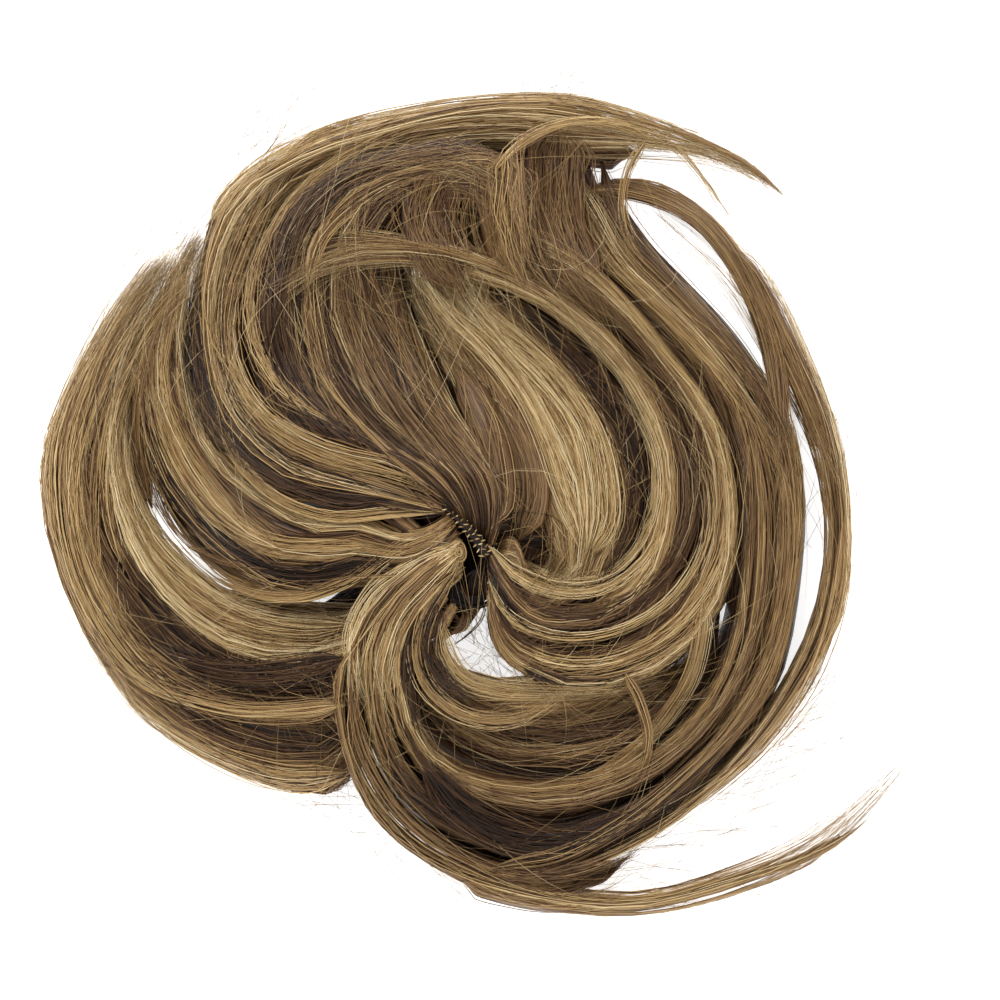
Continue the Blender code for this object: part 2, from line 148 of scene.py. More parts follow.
# Loose locks
LOOSE_STATIONS = 44
LOOSE_OPENING = (0.10, 0.12)  # share of the length to its full width, and least width
LOOSE_CLOSING = (0.3, 0.06)
LOOSE_LEAST_STRANDS = 10
LOOSE_HALF_WIDTH = 0.7
LOOSE_PINCH = 0.4
LOOSE_SWAY = 0.10
LOOSE_SWAY_TURNS = 1.0
LOOSE_FAN_START = 0.5
LOOSE_STRAND_START = (0.05, 0.4)
LOOSE_STRAND_END = (0.3, 0.25)
LOOSE_LANES = 7
LOOSE_STRAND_STATIONS = 19
LOOSE_STRANDS_PER_METRE = 6000
LOOSE_STARTS = (0, 0.04)
LOOSE_ENDS = (0.80, 1.0)
LOOSE_SCATTER = 0.30
LOOSE_SIZES = (0.65, 1.1)
LOOSE_SHADES = 0.13
LOOSE_FAN = 0.0030  # how far their strands fan out at the end
LOOSE_DEPTH = 0.0008
LOOSE_FLOAT = (0.0006, 0.0003)  # how strands stand off the lock: at random, with its sway
UNDER_STRANDS_PER_METRE = 2100
UNDER_LOCK_DEPTH = 0.003
UNDER_LIFT = 0.6  # of a weft's own lift, for the hair under it, which is kept dark as painted shade
UNDER_DEPTH = 0.35
# Painted shade: the lightness of the hair under the wefts, kept dark for the shade between them
UNDER_PAINTED_SHADE = 0.26

# Flyaway hairs
FLYAWAY_RADIUS = 0.000058
FLYAWAY_COUNT = 760
FLYAWAY_STATIONS = 9
FLYAWAY_REACH = 0.014  # how far flyaway hairs may stand out of the part's box
FLYAWAY_SHORTEST = 0.002
FLYAWAY_SHORTENING = 0.8
FLYAWAY_ARCH = 0.8  # of half a wave, by which it rises and comes down again
FLYAWAY_TAPER = 0.3
FLYAWAY_MARGINS = (6, 3)  # stations of a strand where none leaves it, at its ends
FLYAWAY_BENDS = (0.2, 1.1)  # of its strand's own bend
FLYAWAY_BEND_SCATTER = 0.15
FLYAWAY_TURN_SCATTER = 0.18
LEAST_STEP = 1e-6
FLYAWAY_LENGTHS = (0.020, 0.070)
FLYAWAY_RISES = (0.0005, 0.004)
FLYAWAY_SHADES = (0.45, 1.0)
PATCH_LENGTHS = (0.018, 0.050)
PATCH_RISES = (0.0002, 0.003)
PATCH_SHADES = (0.15, 0.85)
PATCH_BEND_SCATTER = 0.5

# The height of the hair's top, kept in square cells
DRAPE_CELL = 0.001
DRAPE_HALF = 0.150
DRAPE_SLOPE = 0.45
DRAPE_SOFTENING = 5
TOP_END = 0.99
TOP_CELLS = (420, 90)  # samples of a weft's top, along and across
RING_CELLS = 60

# The weft track's loose end, over the band, and its stitches
TRACK_END_WIDTH = 0.0030
TRACK_END_DEPTH = 0.0010
TRACK_END_RISE = 0.0012
TRACK_END_STATIONS = 20
TRACK_END_SECTION = ((-0.5, 0), (-0.5, 0.7), (-0.3, 1), (0.3, 1), (0.5, 0.7), (0.5, 0))
STITCH_PITCH = 0.0016
STITCH_LENGTH = 0.0012
STITCH_RADIUS = 0.00030
STITCH_BULGE = (0.45, 1.0, 1.0, 0.45)
STITCH_LEANS = (-0.5, 0.9)
STITCH_RISE = 0.0001
STITCH_ARCH = 0.0002
STITCH_SIZES = (0.7, 1.1)
STITCH_SHADES = (0.45, 0.95)
ROW_STITCH_STAND = 0.4  # of its radius, how far its middle stands off the track
ROW_STITCH_STRETCH = 1.6
ROW_STITCH_SLANT = 0.0004
ROW_STITCH_SCATTER = 0.0002
STITCH_ROWS = ((-0.42, 0.0), (0.05, 0.5), (0.42, 0.0))  # place across, start in pitches

# The rolled end of the weft
ROLL_SHIFT = (0.0022, 0.0012)  # of its drops from the middle of its solid
ROLL_DROPS = (0.22, 0.45, 0.70, 1.00)  # sizes of the nested drops
ROLL_HALF_WIDTH = 0.0019
ROLL_STRETCH = 1.40
ROLL_POINT = 0.30
ROLL_LEAN = -10.0
ROLL_TURNS = 1.02
ROLL_FIBRES = 11  # in each drop
ROLL_SCATTER = 0.00008
ROLL_SHIFTS = 0.00006
ROLL_SIZES = (0.6, 0.9)
ROLL_SHADES = (0.50, 0.88)
ROLL_FAN = 44  # fibres that leave it
ROLL_FAN_START = -0.0002  # in x, from the drops' middle
ROLL_FAN_SCATTER = 0.0003
ROLL_FAN_CURVE = 1.3
ROLL_FAN_DROPS = (0.0008, 0.0014, 0.0002)  # at its start, along its length, at random
ROLL_FAN_SHADES = (0.55, 1.0)
ROLL_FAN_ANGLES = (196, 262)
ROLL_FAN_REACHES = (0.007, 0.014)
ROLL_STATIONS = 20

# The thread's two ends: where they start and how far they reach in plan, from the
# band's centre, and for each how far it bows and its end's level in heights of the band
THREAD_START = (0.0035, -0.0100)
THREAD_REACH = (-0.0075, -0.0125)
THREAD_CURVE = 1.5
THREAD_ENDS = ((0.0016, 0.60), (0.0022, 0.52))
THREAD_RADIUS = 0.00017
THREAD_STATIONS = 24

# Sections of each weft, as in the part: places in thousandths of SPREAD, lift and depth
# in thousandths of CROWN_HEIGHT
#    inner x, inner y, outer x, outer y, lift, depth
CROWN_SECTIONS = (
    (60, 205, -205, 235, 620, 300),
    (-45, 375, -405, 315, 400, 350),
    (-130, 550, -522, 455, 120, 540),
    (-175, 675, -552, 640, 0, 640),
    (-185, 775, -518, 790, 20, 620),
    (-160, 860, -405, 925, 200, 440),
    (-85, 900, -215, 998, 440, 220),
    (5, 890, 10, 1020, 580, 190),
    (50, 850, 110, 945, 640, 160),
    (70, 790, 140, 830, 650, 120),
    (80, 745, 90, 745, 640, 40),
)
UPPER_LEFT_SECTIONS = (
    (-245, 215, -280, 140, 530, 190),
    (-425, 300, -470, 160, 280, 260),
    (-538, 447, -655, 300, 90, 280),
    (-568, 640, -700, 550, 0, 300),
    (-533, 797, -675, 750, 0, 300),
    (-435, 932, -605, 920, 0, 280),
    (-335, 982, -440, 1025, 0, 270),
    (-170, 1028, -235, 1092, 0, 260),
    (20, 1038, 0, 1145, 90, 250),
    (250, 1012, 260, 1160, 140, 240),
    (450, 1010, 470, 1100, 120, 180),
    (640, 988, 662, 1016, 50, 120),
    (800, 905, 808, 915, 0, 30),
)
MIDDLE_LEFT_SECTIONS = (
    (-250, 115, -265, -55, 440, 220),
    (-425, 130, -455, -100, 190, 280),
    (-582, 225, -635, -15, 30, 300),
    (-678, 345, -765, 150, 0, 310),
    (-716, 500, -840, 365, 0, 310),
    (-706, 660, -815, 560, 0, 280),
    (-688, 765, -745, 725, 0, 180),
    (-665, 835, -672, 835, 0, 30),
)
OUTER_LEFT_SECTIONS = (
    (-210, -100, -175, -230, 260, 190),
    (-355, -118, -305, -550, 20, 250),
    (-575, -100, -540, -545, 0, 320),
    (-732, -2, -845, -360, 0, 320),
    (-815, 125, -1030, -25, 0, 320),
    (-862, 290, -1070, 250, 0, 320),
    (-862, 460, -988, 465, 0, 300),
    (-830, 590, -890, 625, 0, 260),
    (-782, 700, -800, 735, 0, 140),
    (-735, 785, -742, 788, 0, 30),
)
INNER_CURL_SECTIONS = (
    (150, -30, 150, -130, 300, 160),
    (200, -10, 295, -120, 140, 200),
    (180, 55, 390, -5, 30, 260),
    (120, 130, 437, 120, 0, 300),
    (45, 220, 440, 260, 0, 310),
    (-30, 340, 390, 398, 0, 310),
    (-80, 480, 290, 520, 0, 310),
    (-132, 600, 160, 618, 0, 300),
    (-160, 705, 70, 715, 0, 270),
    (-150, 800, 110, 800, 0, 220),
    (-100, 885, 125, 875, 0, 160),
    (-10, 955, 120, 940, 0, 100),
    (85, 995, 105, 985, 0, 30),
)
RIGHT_SWEEP = (
    (195, -110, 100, -240, 550, 220),
    (305, -110, 255, -325, 380, 250),
    (410, -30, 480, -265, 300, 270),
    (452, 100, 643, -80, 120, 290),
    (457, 260, 675, 140, 30, 300),
    (407, 400, 640, 330, 0, 300),
    (307, 527, 508, 518, 40, 290),
    (175, 632, 372, 670, 220, 260),
    (20, 700, 205, 790, 380, 220),
)
INNER_RIGHT_END = (
    (-160, 740, -130, 785, 600, 140),
    (-340, 720, -330, 770, 670, 110),
    (-462, 640, -475, 660, 645, 80),
    (-500, 585, -508, 588, 620, 30),
)
OUTER_RIGHT_END = (
    (-50, 820, -45, 828, 420, 40),
)
FRONT_SWEEP = (
    (-145, -225, -260, -250, 540, 240),
    (-150, -350, -252, -410, 380, 280),
    (-85, -467, -195, -560, 280, 300),
    (45, -532, -40, -695, 40, 330),
    (225, -550, 170, -760, 0, 340),
    (415, -500, 425, -668, 0, 340),
    (568, -377, 605, -525, 0, 340),
    (660, -175, 765, -315, 0, 340),
    (687, 12, 825, -37, 0, 340),
    (688, 212, 830, 212, 0, 340),
    (655, 370, 790, 370, 0, 330),
    (530, 535, 645, 550, 0, 310),
    (393, 675, 508, 700, 0, 280),
    (232, 815, 405, 840, 0, 250),
    (140, 905, 400, 935, 0, 180),
)
INNER_FRONT_END = (
    (150, 1000, 165, 1000, 0, 40),
)
OUTER_FRONT_END = (
    (370, 995, 380, 995, 0, 40),
)
SMALL_FRONT_SECTIONS = (
    (-72, -190, -125, -235, 220, 200),
    (-45, -265, -138, -360, 60, 240),
    (45, -300, -58, -460, 0, 240),
    (210, -290, 215, -533, 0, 250),
    (405, -275, 448, -477, 0, 240),
    (560, -202, 598, -295, 0, 140),
    (638, -150, 646, -155, 0, 30),
)
LONG_RIGHT_SECTIONS = (
    (-268, -256, -298, -264, 540, 240),
    (-260, -416, -290, -428, 380, 270),
    (-203, -568, -227, -588, 280, 270),
    (-46, -705, -62, -733, 40, 280),
    (168, -771, 162, -798, 0, 280),
    (429, -680, 437, -708, 0, 280),
    (613, -534, 637, -557, 0, 280),
    (777, -325, 815, -350, 0, 270),
    (875, -105, 940, -125, 0, 260),
    (897, 87, 957, 82, 0, 260),
    (862, 287, 932, 287, 0, 260),
    (755, 500, 840, 535, 0, 250),
    (640, 695, 725, 740, 0, 220),
    (510, 815, 560, 870, 0, 160),
    (430, 900, 430, 920, 0, 50),
)
TAIL_SECTIONS = (
    (-305, -266, -330, -272, 540, 220),
    (-298, -431, -322, -441, 380, 240),
    (-234, -594, -257, -614, 280, 240),
    (-68, -742, -83, -775, 40, 250),
    (160, -808, 150, -868, 0, 250),
    (430, -838, 435, -890, 0, 220),
    (662, -775, 682, -835, 0, 180),
    (855, -687, 890, -742, 0, 130),
    (1000, -577, 1025, -607, 0, 80),
    (1105, -472, 1120, -482, 0, 30),
)

# name, sections, from, to, own end, row's side, head inner, head outer
WEFTS = (
    ("weft_crown", CROWN_SECTIONS, 0.0, 1.0, (), "upper", 0.120, 0.370),
    ("weft_upper_left", UPPER_LEFT_SECTIONS, 0.0, 1.0, (), "upper", 0.385, 0.430),
    ("weft_middle_left", MIDDLE_LEFT_SECTIONS, 0.0, 1.0, (), "upper", 0.440, 0.535),
    ("weft_outer_left", OUTER_LEFT_SECTIONS, 0.0, 1.0, (), "lower", 0.490, 0.620),
    ("weft_inner_curl", INNER_CURL_SECTIONS, 0.0, 1.0, (), "lower", 1.050, 0.950),
    ("weft_inner_right", RIGHT_SWEEP, 0.0, 0.48, INNER_RIGHT_END, "upper", 0.955, 0.880),
    ("weft_outer_right", RIGHT_SWEEP, 0.52, 1.0, OUTER_RIGHT_END, "upper", 0.870, 0.820),
    ("weft_small_front", SMALL_FRONT_SECTIONS, 0.0, 1.0, (), "lower", 0.720, 0.690),
    ("weft_inner_front", FRONT_SWEEP, 0.0, 0.46, INNER_FRONT_END, "upper", 0.675, 0.639),
    ("weft_outer_front", FRONT_SWEEP, 0.54, 0.985, OUTER_FRONT_END, "upper", 0.629, 0.593),
    ("weft_long_right", LONG_RIGHT_SECTIONS, 0.0, 1.0, (), "upper", 0.585, 0.565),
    ("weft_tail", TAIL_SECTIONS, 0.0, 1.0, (), "upper", 0.557, 0.544),
)

# Where each upper weft's strands leave the band, in thousandths of SPREAD from its centre
#    name: inner x, inner y, outer x, outer y
ROOTS = {
    "weft_crown": (52, 42, -40, 122),
    "weft_upper_left": (-44, 128, -56, 118),
    "weft_middle_left": (-46, 112, -30, 66),
    "weft_inner_right": (46, 40, 50, -25),
    "weft_outer_right": (50, -35, 50, -100),
    "weft_inner_front": (-22, -35, -16, 20),
    "weft_outer_front": (-16, 22, -22, 44),
    "weft_long_right": (-22, 44, -24, 48),
    "weft_tail": (-24, 48, -28, 54),
}

# How light each weft is across its width, from dark brown 0 to pale blonde 100
#    place across in hundredths, lightness
STREAKS = {
    "weft_crown": (
        (0, 58), (12, 62), (25, 58), (38, 42), (55, 38), (66, 38), (74, 26), (80, 16), (93, 14),
        (100, 44)),
    "weft_upper_left": ((0, 54), (16, 68), (34, 40), (50, 68), (64, 56), (76, 28), (90, 28), (100, 56)),
    "weft_middle_left": (
        (0, 70), (8, 78), (18, 74), (24, 28), (32, 34), (38, 76), (56, 76), (62, 16), (80, 14),
        (87, 60), (100, 60)),
    "weft_outer_left": (
        (0, 74), (6, 80), (25, 80), (31, 26), (44, 16), (52, 50), (62, 52), (70, 28), (79, 30),
        (87, 64), (100, 68)),
    # The curl's darkest outer side is painted shade, beside the inner right weft
    "weft_inner_curl": ((0, 56), (20, 66), (42, 74), (62, 86), (75, 76), (84, 28), (93, 14), (100, 10)),
    "weft_inner_right": ((0, 92), (30, 78), (50, 46), (75, 48), (100, 74)),
    "weft_outer_right": ((0, 46), (20, 46), (40, 76), (58, 52), (75, 82), (100, 76)),
    "weft_small_front": ((0, 74), (30, 80), (55, 46), (75, 50), (100, 34)),
    "weft_inner_front": ((0, 56), (25, 56), (50, 44), (75, 56), (100, 46)),
    "weft_outer_front": ((0, 40), (25, 58), (45, 42), (65, 64), (100, 60)),
    "weft_long_right": ((0, 52), (50, 58), (100, 68)),
    "weft_tail": ((0, 80), (50, 80), (100, 70)),
}

# How much lighter or darker a weft is along its length: the lighter ends are the hair's own tone, while the
# darkening next to the band and the dips a little way along the outer front, long right and tail wefts,
# where they cross the darkest stretch at the front, are painted shade
#    place along in hundredths, change of lightness
TONES_AND_PAINTED_SHADE = {
    "weft_inner_front": ((0, 22), (14, 20), (22, 0), (46, 0), (60, 4), (100, 12)),
    "weft_outer_front": (
        (0, 20), (12, 12), (18, -20), (26, -34), (42, -26), (56, 6), (80, 16), (100, 18)),
    "weft_long_right": ((0, 10), (12, 0), (18, -25), (30, -20), (38, 12), (100, 6)),
    "weft_inner_right": ((0, -30), (10, -20), (20, 0), (100, 0)),
    "weft_outer_right": ((0, -15), (12, -5), (20, 0), (100, 0)),
    "weft_tail": ((0, 10), (12, 0), (20, -20), (42, -20), (52, 4), (100, 0)),
    "weft_upper_left": ((0, 0), (34, 0), (48, 22), (100, 22)),
    "weft_crown": ((0, -12), (10, 0), (60, 0), (100, 10)),
    "weft_inner_curl": ((0, -16), (6, 0), (100, 0)),
    "weft_outer_left": ((0, 0), (46, 0), (60, 14), (72, 24), (100, 26)),
    "weft_middle_left": ((0, 0), (50, 0), (70, 8), (100, 12)),
}
EVEN_TONE = ((0, 0), (100, 0))

# How each weft ends: the share of its length where its body ends, the mean share by which
# its strands fall short of it, and how far they fan out there in metres
WEFT_ENDS = {
    "weft_upper_left": (0.87, 0.06, 0.0010),
    "weft_long_right": (0.90, 0.05, 0.0022),
    "weft_tail": (0.80, 0.07, 0.0016),
}
PLAIN_END = (0.95, 0.04, 0.0035)

# Loose locks over the wefts, piece by piece
#    width in tenths of a millimetre, lightness from 0 to 100, whether it has a body, and
#    its path in hundredths of SPREAD from the band's centre
LOOSE_LOCKS = {
    "left_locks": (
        (30, 80, False, (
            (-6, 12), (-18, 12), (-35, 11), (-50, 17), (-59, 27), (-63, 42), (-66, 60), (-64, 75))),
        (60, 80, False, (
            (-22, 4), (-35, 3), (-50, 4), (-61, 10), (-70, 20), (-75, 30), (-78, 40), (-78, 52),
            (-74, 62), (-70, 68))),
        # Painted shade: a dark lock in the seam between the middle left and outer left wefts
        (62, 6, True, (
            (-18, 1), (-30, -2), (-42, -3.5), (-53, -1.5), (-62, 3), (-70, 11), (-76.5, 20), (-80, 32),
            (-80, 45))),
        # Painted shade: a dark lock in the seam between the upper left and middle left wefts
        (90, 8, False, (
            (-20, 15), (-34, 16.5), (-46, 21), (-56, 28), (-63, 37), (-67, 47), (-69, 58), (-68, 69),
            (-65, 78))),
        (75, 78, False, (
            (-28, -16), (-42, -16), (-55, -13), (-66, -7), (-75, 1), (-82, 11), (-86, 22), (-87, 36),
            (-84, 50))),
        (70, 16, False, (
            (-30, -23.5), (-44, -26.5), (-58, -27.5), (-70, -25.5), (-80, -21), (-88, -14.5),
            (-93, -7))),
        (60, 20, False, ((-40, -31), (-55, -33), (-70, -31), (-82, -26), (-90, -18))),
        (50, 66, False, ((-30, -35), (-44, -37), (-58, -37), (-72, -34), (-84, -28), (-94, -16))),
        (60, 74, False, ((-30, -53), (-45, -54), (-60, -50), (-74, -43), (-86, -33), (-96, -18))),
        (60, 76, False, (
            (-70, -36), (-84, -25.5), (-92.5, -14), (-98.5, 0), (-101, 14), (-101, 28), (-97, 42),
            (-90, 55), (-82, 66), (-73, 74))),
        (24, 56, False, ((-52, -7.5), (-61, -4.5), (-69, 3), (-75, 12), (-79, 22), (-80, 34))),
        (20, 50, False, ((-50, -2), (-62, 0), (-71, 5), (-77, 13), (-80, 22), (-83, 32))),
        (50, 76, False, (
            (-86, -20), (-94, -6), (-98, 8), (-98, 24), (-94, 38), (-88, 52), (-80, 64), (-72, 72))),
        (34, 72, True, ((-4, 8), (-18, 3), (-30, -5), (-42, -9), (-55, -8), (-64, -4), (-69, 0))),
        (46, 50, True, ((-80, 13), (-83, 25), (-83.5, 35), (-81, 48), (-76, 60), (-69, 70))),
        (50, 62, False, ((-92, -6), (-94, 10), (-93, 26), (-89, 42), (-83, 56), (-74, 67), (-64, 75))),
        (40, 78, False, ((-86, -2), (-90, 12), (-90, 28), (-86, 44), (-79, 58), (-70, 68))),
    ),
    "crown_locks": (
        (52, 76, False, (
            (-5, 15), (-18, 22), (-35, 26), (-52, 36), (-59, 47), (-61, 60), (-58, 72), (-53, 85),
            (-48, 96), (-42, 104), (-32, 109), (-21, 112))),
        (36, 74, False, (
            (-12, 20), (-30, 25), (-47, 33), (-58, 45), (-65, 57), (-66, 68), (-64, 80), (-58, 92),
            (-50, 100), (-40, 106), (-30, 110))),
        (50, 74, False, (
            (-30, 32), (-46, 42), (-54, 55), (-55, 68), (-51, 80), (-44, 91), (-32, 101), (-17, 108),
            (2, 112), (22, 113), (42, 109), (58, 103), (69, 97), (79, 91))),
        (90, 14, False, (
            (-22, 24), (-35, 33), (-44, 44), (-48, 55), (-48, 66), (-45, 78), (-38, 90), (-25, 99),
            (-12, 102))),
        (60, 46, False, ((2, 14), (-8, 26), (-19, 40), (-27, 55), (-31, 68), (-29, 78))),
        (18, 70, False, ((-2, 13), (-14, 22), (-26, 33), (-35, 44), (-40, 56), (-41, 68))),
        (75, 26, False, ((0, 12), (-10, 20), (-22, 30), (-31, 41), (-37, 53), (-38, 64))),
        (50, 84, False, ((-66, 84), (-60, 93), (-50, 101), (-38, 106.5), (-25, 110.5), (-12, 112.5))),
        (60, 78, False, (
            (-50, 96), (-42, 103.5), (-27, 109.5), (-10, 113), (8, 114.5), (25, 114), (42, 109.5),
            (57, 104.5), (70, 98.5), (80, 91))),
        (20, 52, True, ((50, 107.5), (58, 104.5), (66, 101), (73, 96.5), (79, 91.5), (81, 89.5))),
        (70, 66, False, ((-30, 102), (-14, 108), (4, 110.5), (22, 110.5), (38, 107), (52, 103))),
        (36, 76, False, (
            (45, 40), (38, 50), (25, 62), (10, 71), (-6, 77), (-22, 80), (-37, 80), (-46, 74),
            (-51, 65), (-54, 55))),
        (50, 55, False, (
            (-40, 66), (-36, 80), (-25, 90), (-10, 96), (4, 98), (12, 93), (15, 86), (14, 78))),
        (34, 72, False, ((6, 95), (13, 102), (23, 107), (35, 108), (44, 106), (51, 103))),
        (16, 72, False, ((40, 108), (50, 104), (58, 96), (64, 87), (68, 80))),
        (150, 42, True, ((-8, 96), (-10, 86), (-7, 76), (0, 64))),
        (130, 56, True, ((9, 100), (8, 88), (10, 76), (15, 66))),
        (160, 44, True, ((22, 108), (21, 96), (22, 83), (27, 70), (35, 58))),
    ),
    "curl_locks": (
        (66, 84, False, (
            (28, 1), (26, 8), (22, 18), (18, 30), (12, 42), (4, 52), (-5, 60), (-12, 69), (-16, 78))),
        (80, 86, False, ((29, 1), (31, 10), (30, 22), (27, 34), (20, 44), (10, 54), (1, 64), (-3, 72))),
        (60, 82, False, ((30, 1), (35, 10), (35, 20), (32, 32), (26, 42), (18, 50))),
        (60, 55, False, ((20, 0), (18, 10), (13, 22), (7, 35), (0, 45), (-8, 55), (-15, 65))),
        # Painted shade: a dark lock for the shadow between the curl and the inner right weft
        (56, 10, True, ((43, 8), (43, 20), (40, 32), (34, 43), (24, 53), (12, 61))),
    ),
    "right_locks": (
        (40, 84, False, (
            (14, 0), (18, -3), (25, -5.5), (33, -4.5), (42, 3), (45.5, 13), (46, 25), (42, 37),
            (34, 49))),
        # Painted shade: a dark line between the outer right weft and the front hair
        (34, 10, True, ((12.5, -25.5), (20, -28.5), (31, -29.5), (42, -27))),
        (44, 82, False, (
            (4.8, 4), (10, -2), (20, -7), (35, -6), (45, 3), (49, 15), (48, 28), (43, 40), (35, 52),
            (22, 62))),
        (60, 28, False, (
            (4.8, 0), (10, -8), (22, -13), (38, -11), (50, -2), (56, 12), (56, 26), (50, 40),
            (40, 52))),
        (34, 78, False, (
            (4.6, -4), (8, -13), (20, -19), (36, -18), (50, -10), (58, 2), (60, 15), (56, 29),
            (50, 40))),
        (44, 80, False, (
            (4.6, -7), (7, -17), (17, -24), (32, -25.5), (48, -19), (60, -6), (65, 8), (64, 22),
            (57, 36), (47, 48))),
        (60, 70, False, (
            (25, 98), (31, 87), (38, 75), (48, 65), (58, 55), (68, 42), (75, 30), (80, 17))),
        (60, 34, True, (
            (33, 100), (36, 88), (43, 78), (53, 68), (63, 57), (71, 45), (76, 35), (80, 22), (81, 10))),
        (28, 74, False, ((44, 105), (40, 99), (38, 91), (39, 82), (43, 74))),
        (60, 48, True, (
            (27, 92), (34, 93.5), (41, 93), (48.5, 91), (56.5, 86.5), (63.5, 79), (69.2, 70),
            (73.5, 60), (76.2, 49), (77.5, 37), (78, 22), (76, 8))),
        (34, 60, False, (
            (36, 95.5), (44, 94.5), (53, 91), (61, 84.5), (68, 74.5), (73.5, 63), (77.5, 50), (79, 38),
            (80, 24), (80, 10))),
        (60, 52, True, ((64, 79), (71, 69), (76.5, 58), (81.5, 47), (86, 36), (89.5, 25), (91.5, 12))),
        (60, 52, False, (
            (66, 44), (73, 30), (76.5, 15), (76.5, 0), (74, -15), (69, -29), (61, -42), (50, -53))),
        (50, 36, False, ((58, 50), (65, 36), (69, 20), (69.5, 5), (68, -8))),
    ),
    "front_locks": (
        (70, 86, False, ((-3, 4), (-15, -2), (-24, -9), (-28, -18), (-28, -28), (-26, -37))),
        (70, 84, False, ((-2, 3), (-12, -4), (-20, -13), (-23, -24), (-22, -34))),
        (60, 86, False, ((-2, 2), (-10, -5), (-17, -13), (-20.5, -23), (-21, -34), (-19, -44))),
        (46, 54, False, (
            (-29, -32), (-27, -45), (-22, -56), (-13, -67), (3, -77), (20, -82), (36, -82))),
        (50, 14, False, (
            (-2, 0), (-9, -8), (-14.5, -17), (-16, -30), (-14, -43), (-7, -54), (5, -63), (22, -67),
            (38, -63))),
        (44, 74, False, (
            (-3, -2), (-10, -10), (-13, -20), (-11, -30), (-2, -38), (10, -39.5), (20, -35),
            (24.5, -28))),
        (46, 82, False, (
            (-7, -14), (-5.5, -22), (-1, -28.5), (7, -31.5), (20, -32.5), (35, -32), (50, -29))),
        (55, 12, False, ((-8, -10), (-10, -20), (-8, -27), (-3, -31.5), (3, -33))),
        # Painted shade: a dark lock for the deep shadow along the front sweep
        (75, 12, False, ((-12, -50), (-3, -62), (10, -70), (25, -71), (40, -66), (54, -56), (65, -43))),
        (50, 50, True, (
            (4, -77), (20, -75.5), (34, -69), (47, -60), (60, -48), (70.5, -36), (78, -24))),
        (60, 56, True, ((-2, -80), (12, -84.5), (28, -85.5), (42, -84.5))),
        (70, 40, True, ((5, -78), (16, -80), (26, -79.5), (35, -77), (44, -72.5))),
        (40, 76, True, (
            (58, -8), (57.5, -18), (55.5, -28), (50, -38), (42, -47), (32, -53), (18, -56))),
        (34, 56, False, ((38, -27), (42, -34), (44.5, -42), (43.5, -51), (39, -58))),
        (30, 72, False, (
            (74, 30), (79, 18), (80, 5), (78.5, -10), (75, -23), (69, -35), (60, -47), (50, -57),
            (38, -66), (20, -72))),
        (40, 70, False, (
            (93, 10), (92.5, -5), (89, -20), (83, -34), (74, -46), (62, -56), (48, -66), (32, -75))),
        (24, 62, True, ((55, -83), (70, -79), (83, -75), (95, -69), (104, -62.5))),
    ),
}

# Hair beneath, seen only between the wefts: partly the hair's lower layers, partly painted shade, the
# darkest of it standing for the shadow in the gaps and under the band
#    width, lightness and path as above, with heights in hundredths of CROWN_HEIGHT
UNDER_LOCKS = (
    (90, 0, ((-3, 13, 60), (-15, 14.5, 42), (-28, 15.5, 22), (-42, 15, 6))),
    (80, 0, ((-3, 3, 55), (-12, 1, 34), (-22, -4, 14), (-31, -9, 6), (-40, -12, 5))),
    (160, 6, ((3, 11, 50), (12, 10, 34), (22, 8, 20), (32, 6, 12))),
    (120, 8, ((4, 7, 56), (11, 3, 34), (20, 0, 16), (32, -1, 10))),
    (80, 4, ((-4, 14, 56), (-16, 21, 36), (-32, 28, 16), (-45, 33, 8))),
    (70, 0, ((-3, 10, 56), (-12, 10, 40), (-25, 9, 24))),
    (150, 24, ((-14, 104, 6), (0, 103, 6), (14, 103, 6), (28, 104, 6))),
    (160, 24, ((-6, 70, 6), (-3, 82, 6), (2, 92, 6), (3, 102, 6))),
    (110, 40, ((18, 104, 5), (28, 104, 5), (37, 103, 5), (44, 102, 5))),
    (140, 0, ((-6, 12, 10), (-7, 2, 10), (-7, -8, 10), (-9, -20, 8))),
    (120, 0, ((-1, 13, 12), (0, 4, 12), (0.5, -4, 12), (1, -11.5, 12))),
    (60, 6, ((2, -2, 62), (1, -9, 60), (-2, -14, 50), (-6, -20, 30))),
    (120, 20, (
        (-10, -38, 8), (0, -50, 8), (18, -54, 8), (38, -49, 8), (53, -36, 8), (61, -20, 8),
        (64, -4, 8))),
    (160, 32, (
        (66, -15, 10), (68, 0, 10), (68, 20, 10), (62, 38, 10), (50, 54, 10), (37, 68, 10),
        (25, 80, 10), (18, 92, 10))),
    (100, 34, ((24, 102, 8), (29, 90, 8), (36, 78, 8), (44, 67, 8))),
    (200, 30, ((10, 102, 6), (16, 90, 6), (20, 76, 6), (24, 64, 6))),
    (90, 50, ((5, 8, 80), (7, 18, 66), (5, 30, 50), (0, 42, 40), (-7, 54, 36))),
    (110, 54, ((12, 5, 36), (15, 16, 36), (13, 28, 34), (6, 42, 32), (-2, 55, 31))),
)

# How far the hair under each weft shows past its sides, as shares of its width; it is kept dark as painted
# shade between the wefts
UNDER_SPILLS = {
    "weft_crown": (0.10, 0.06),
    "weft_upper_left": (0.16, 0.04),
    "weft_middle_left": (0.12, 0.04),
    "weft_outer_left": (0.02, 0.00),
    "weft_inner_curl": (0.04, 0.12),
    "weft_inner_right": (0.20, 0.20),
    "weft_outer_right": (0.20, 0.10),
    "weft_small_front": (0.00, 0.14),
    "weft_inner_front": (0.45, 0.30),
    "weft_outer_front": (0.30, 0.20),
}

# The track's loose end, in shares of SPREAD from the band's centre
TRACK_END = ((-0.058, 0.140), (-0.030, 0.112), (0.005, 0.072), (0.044, 0.012))

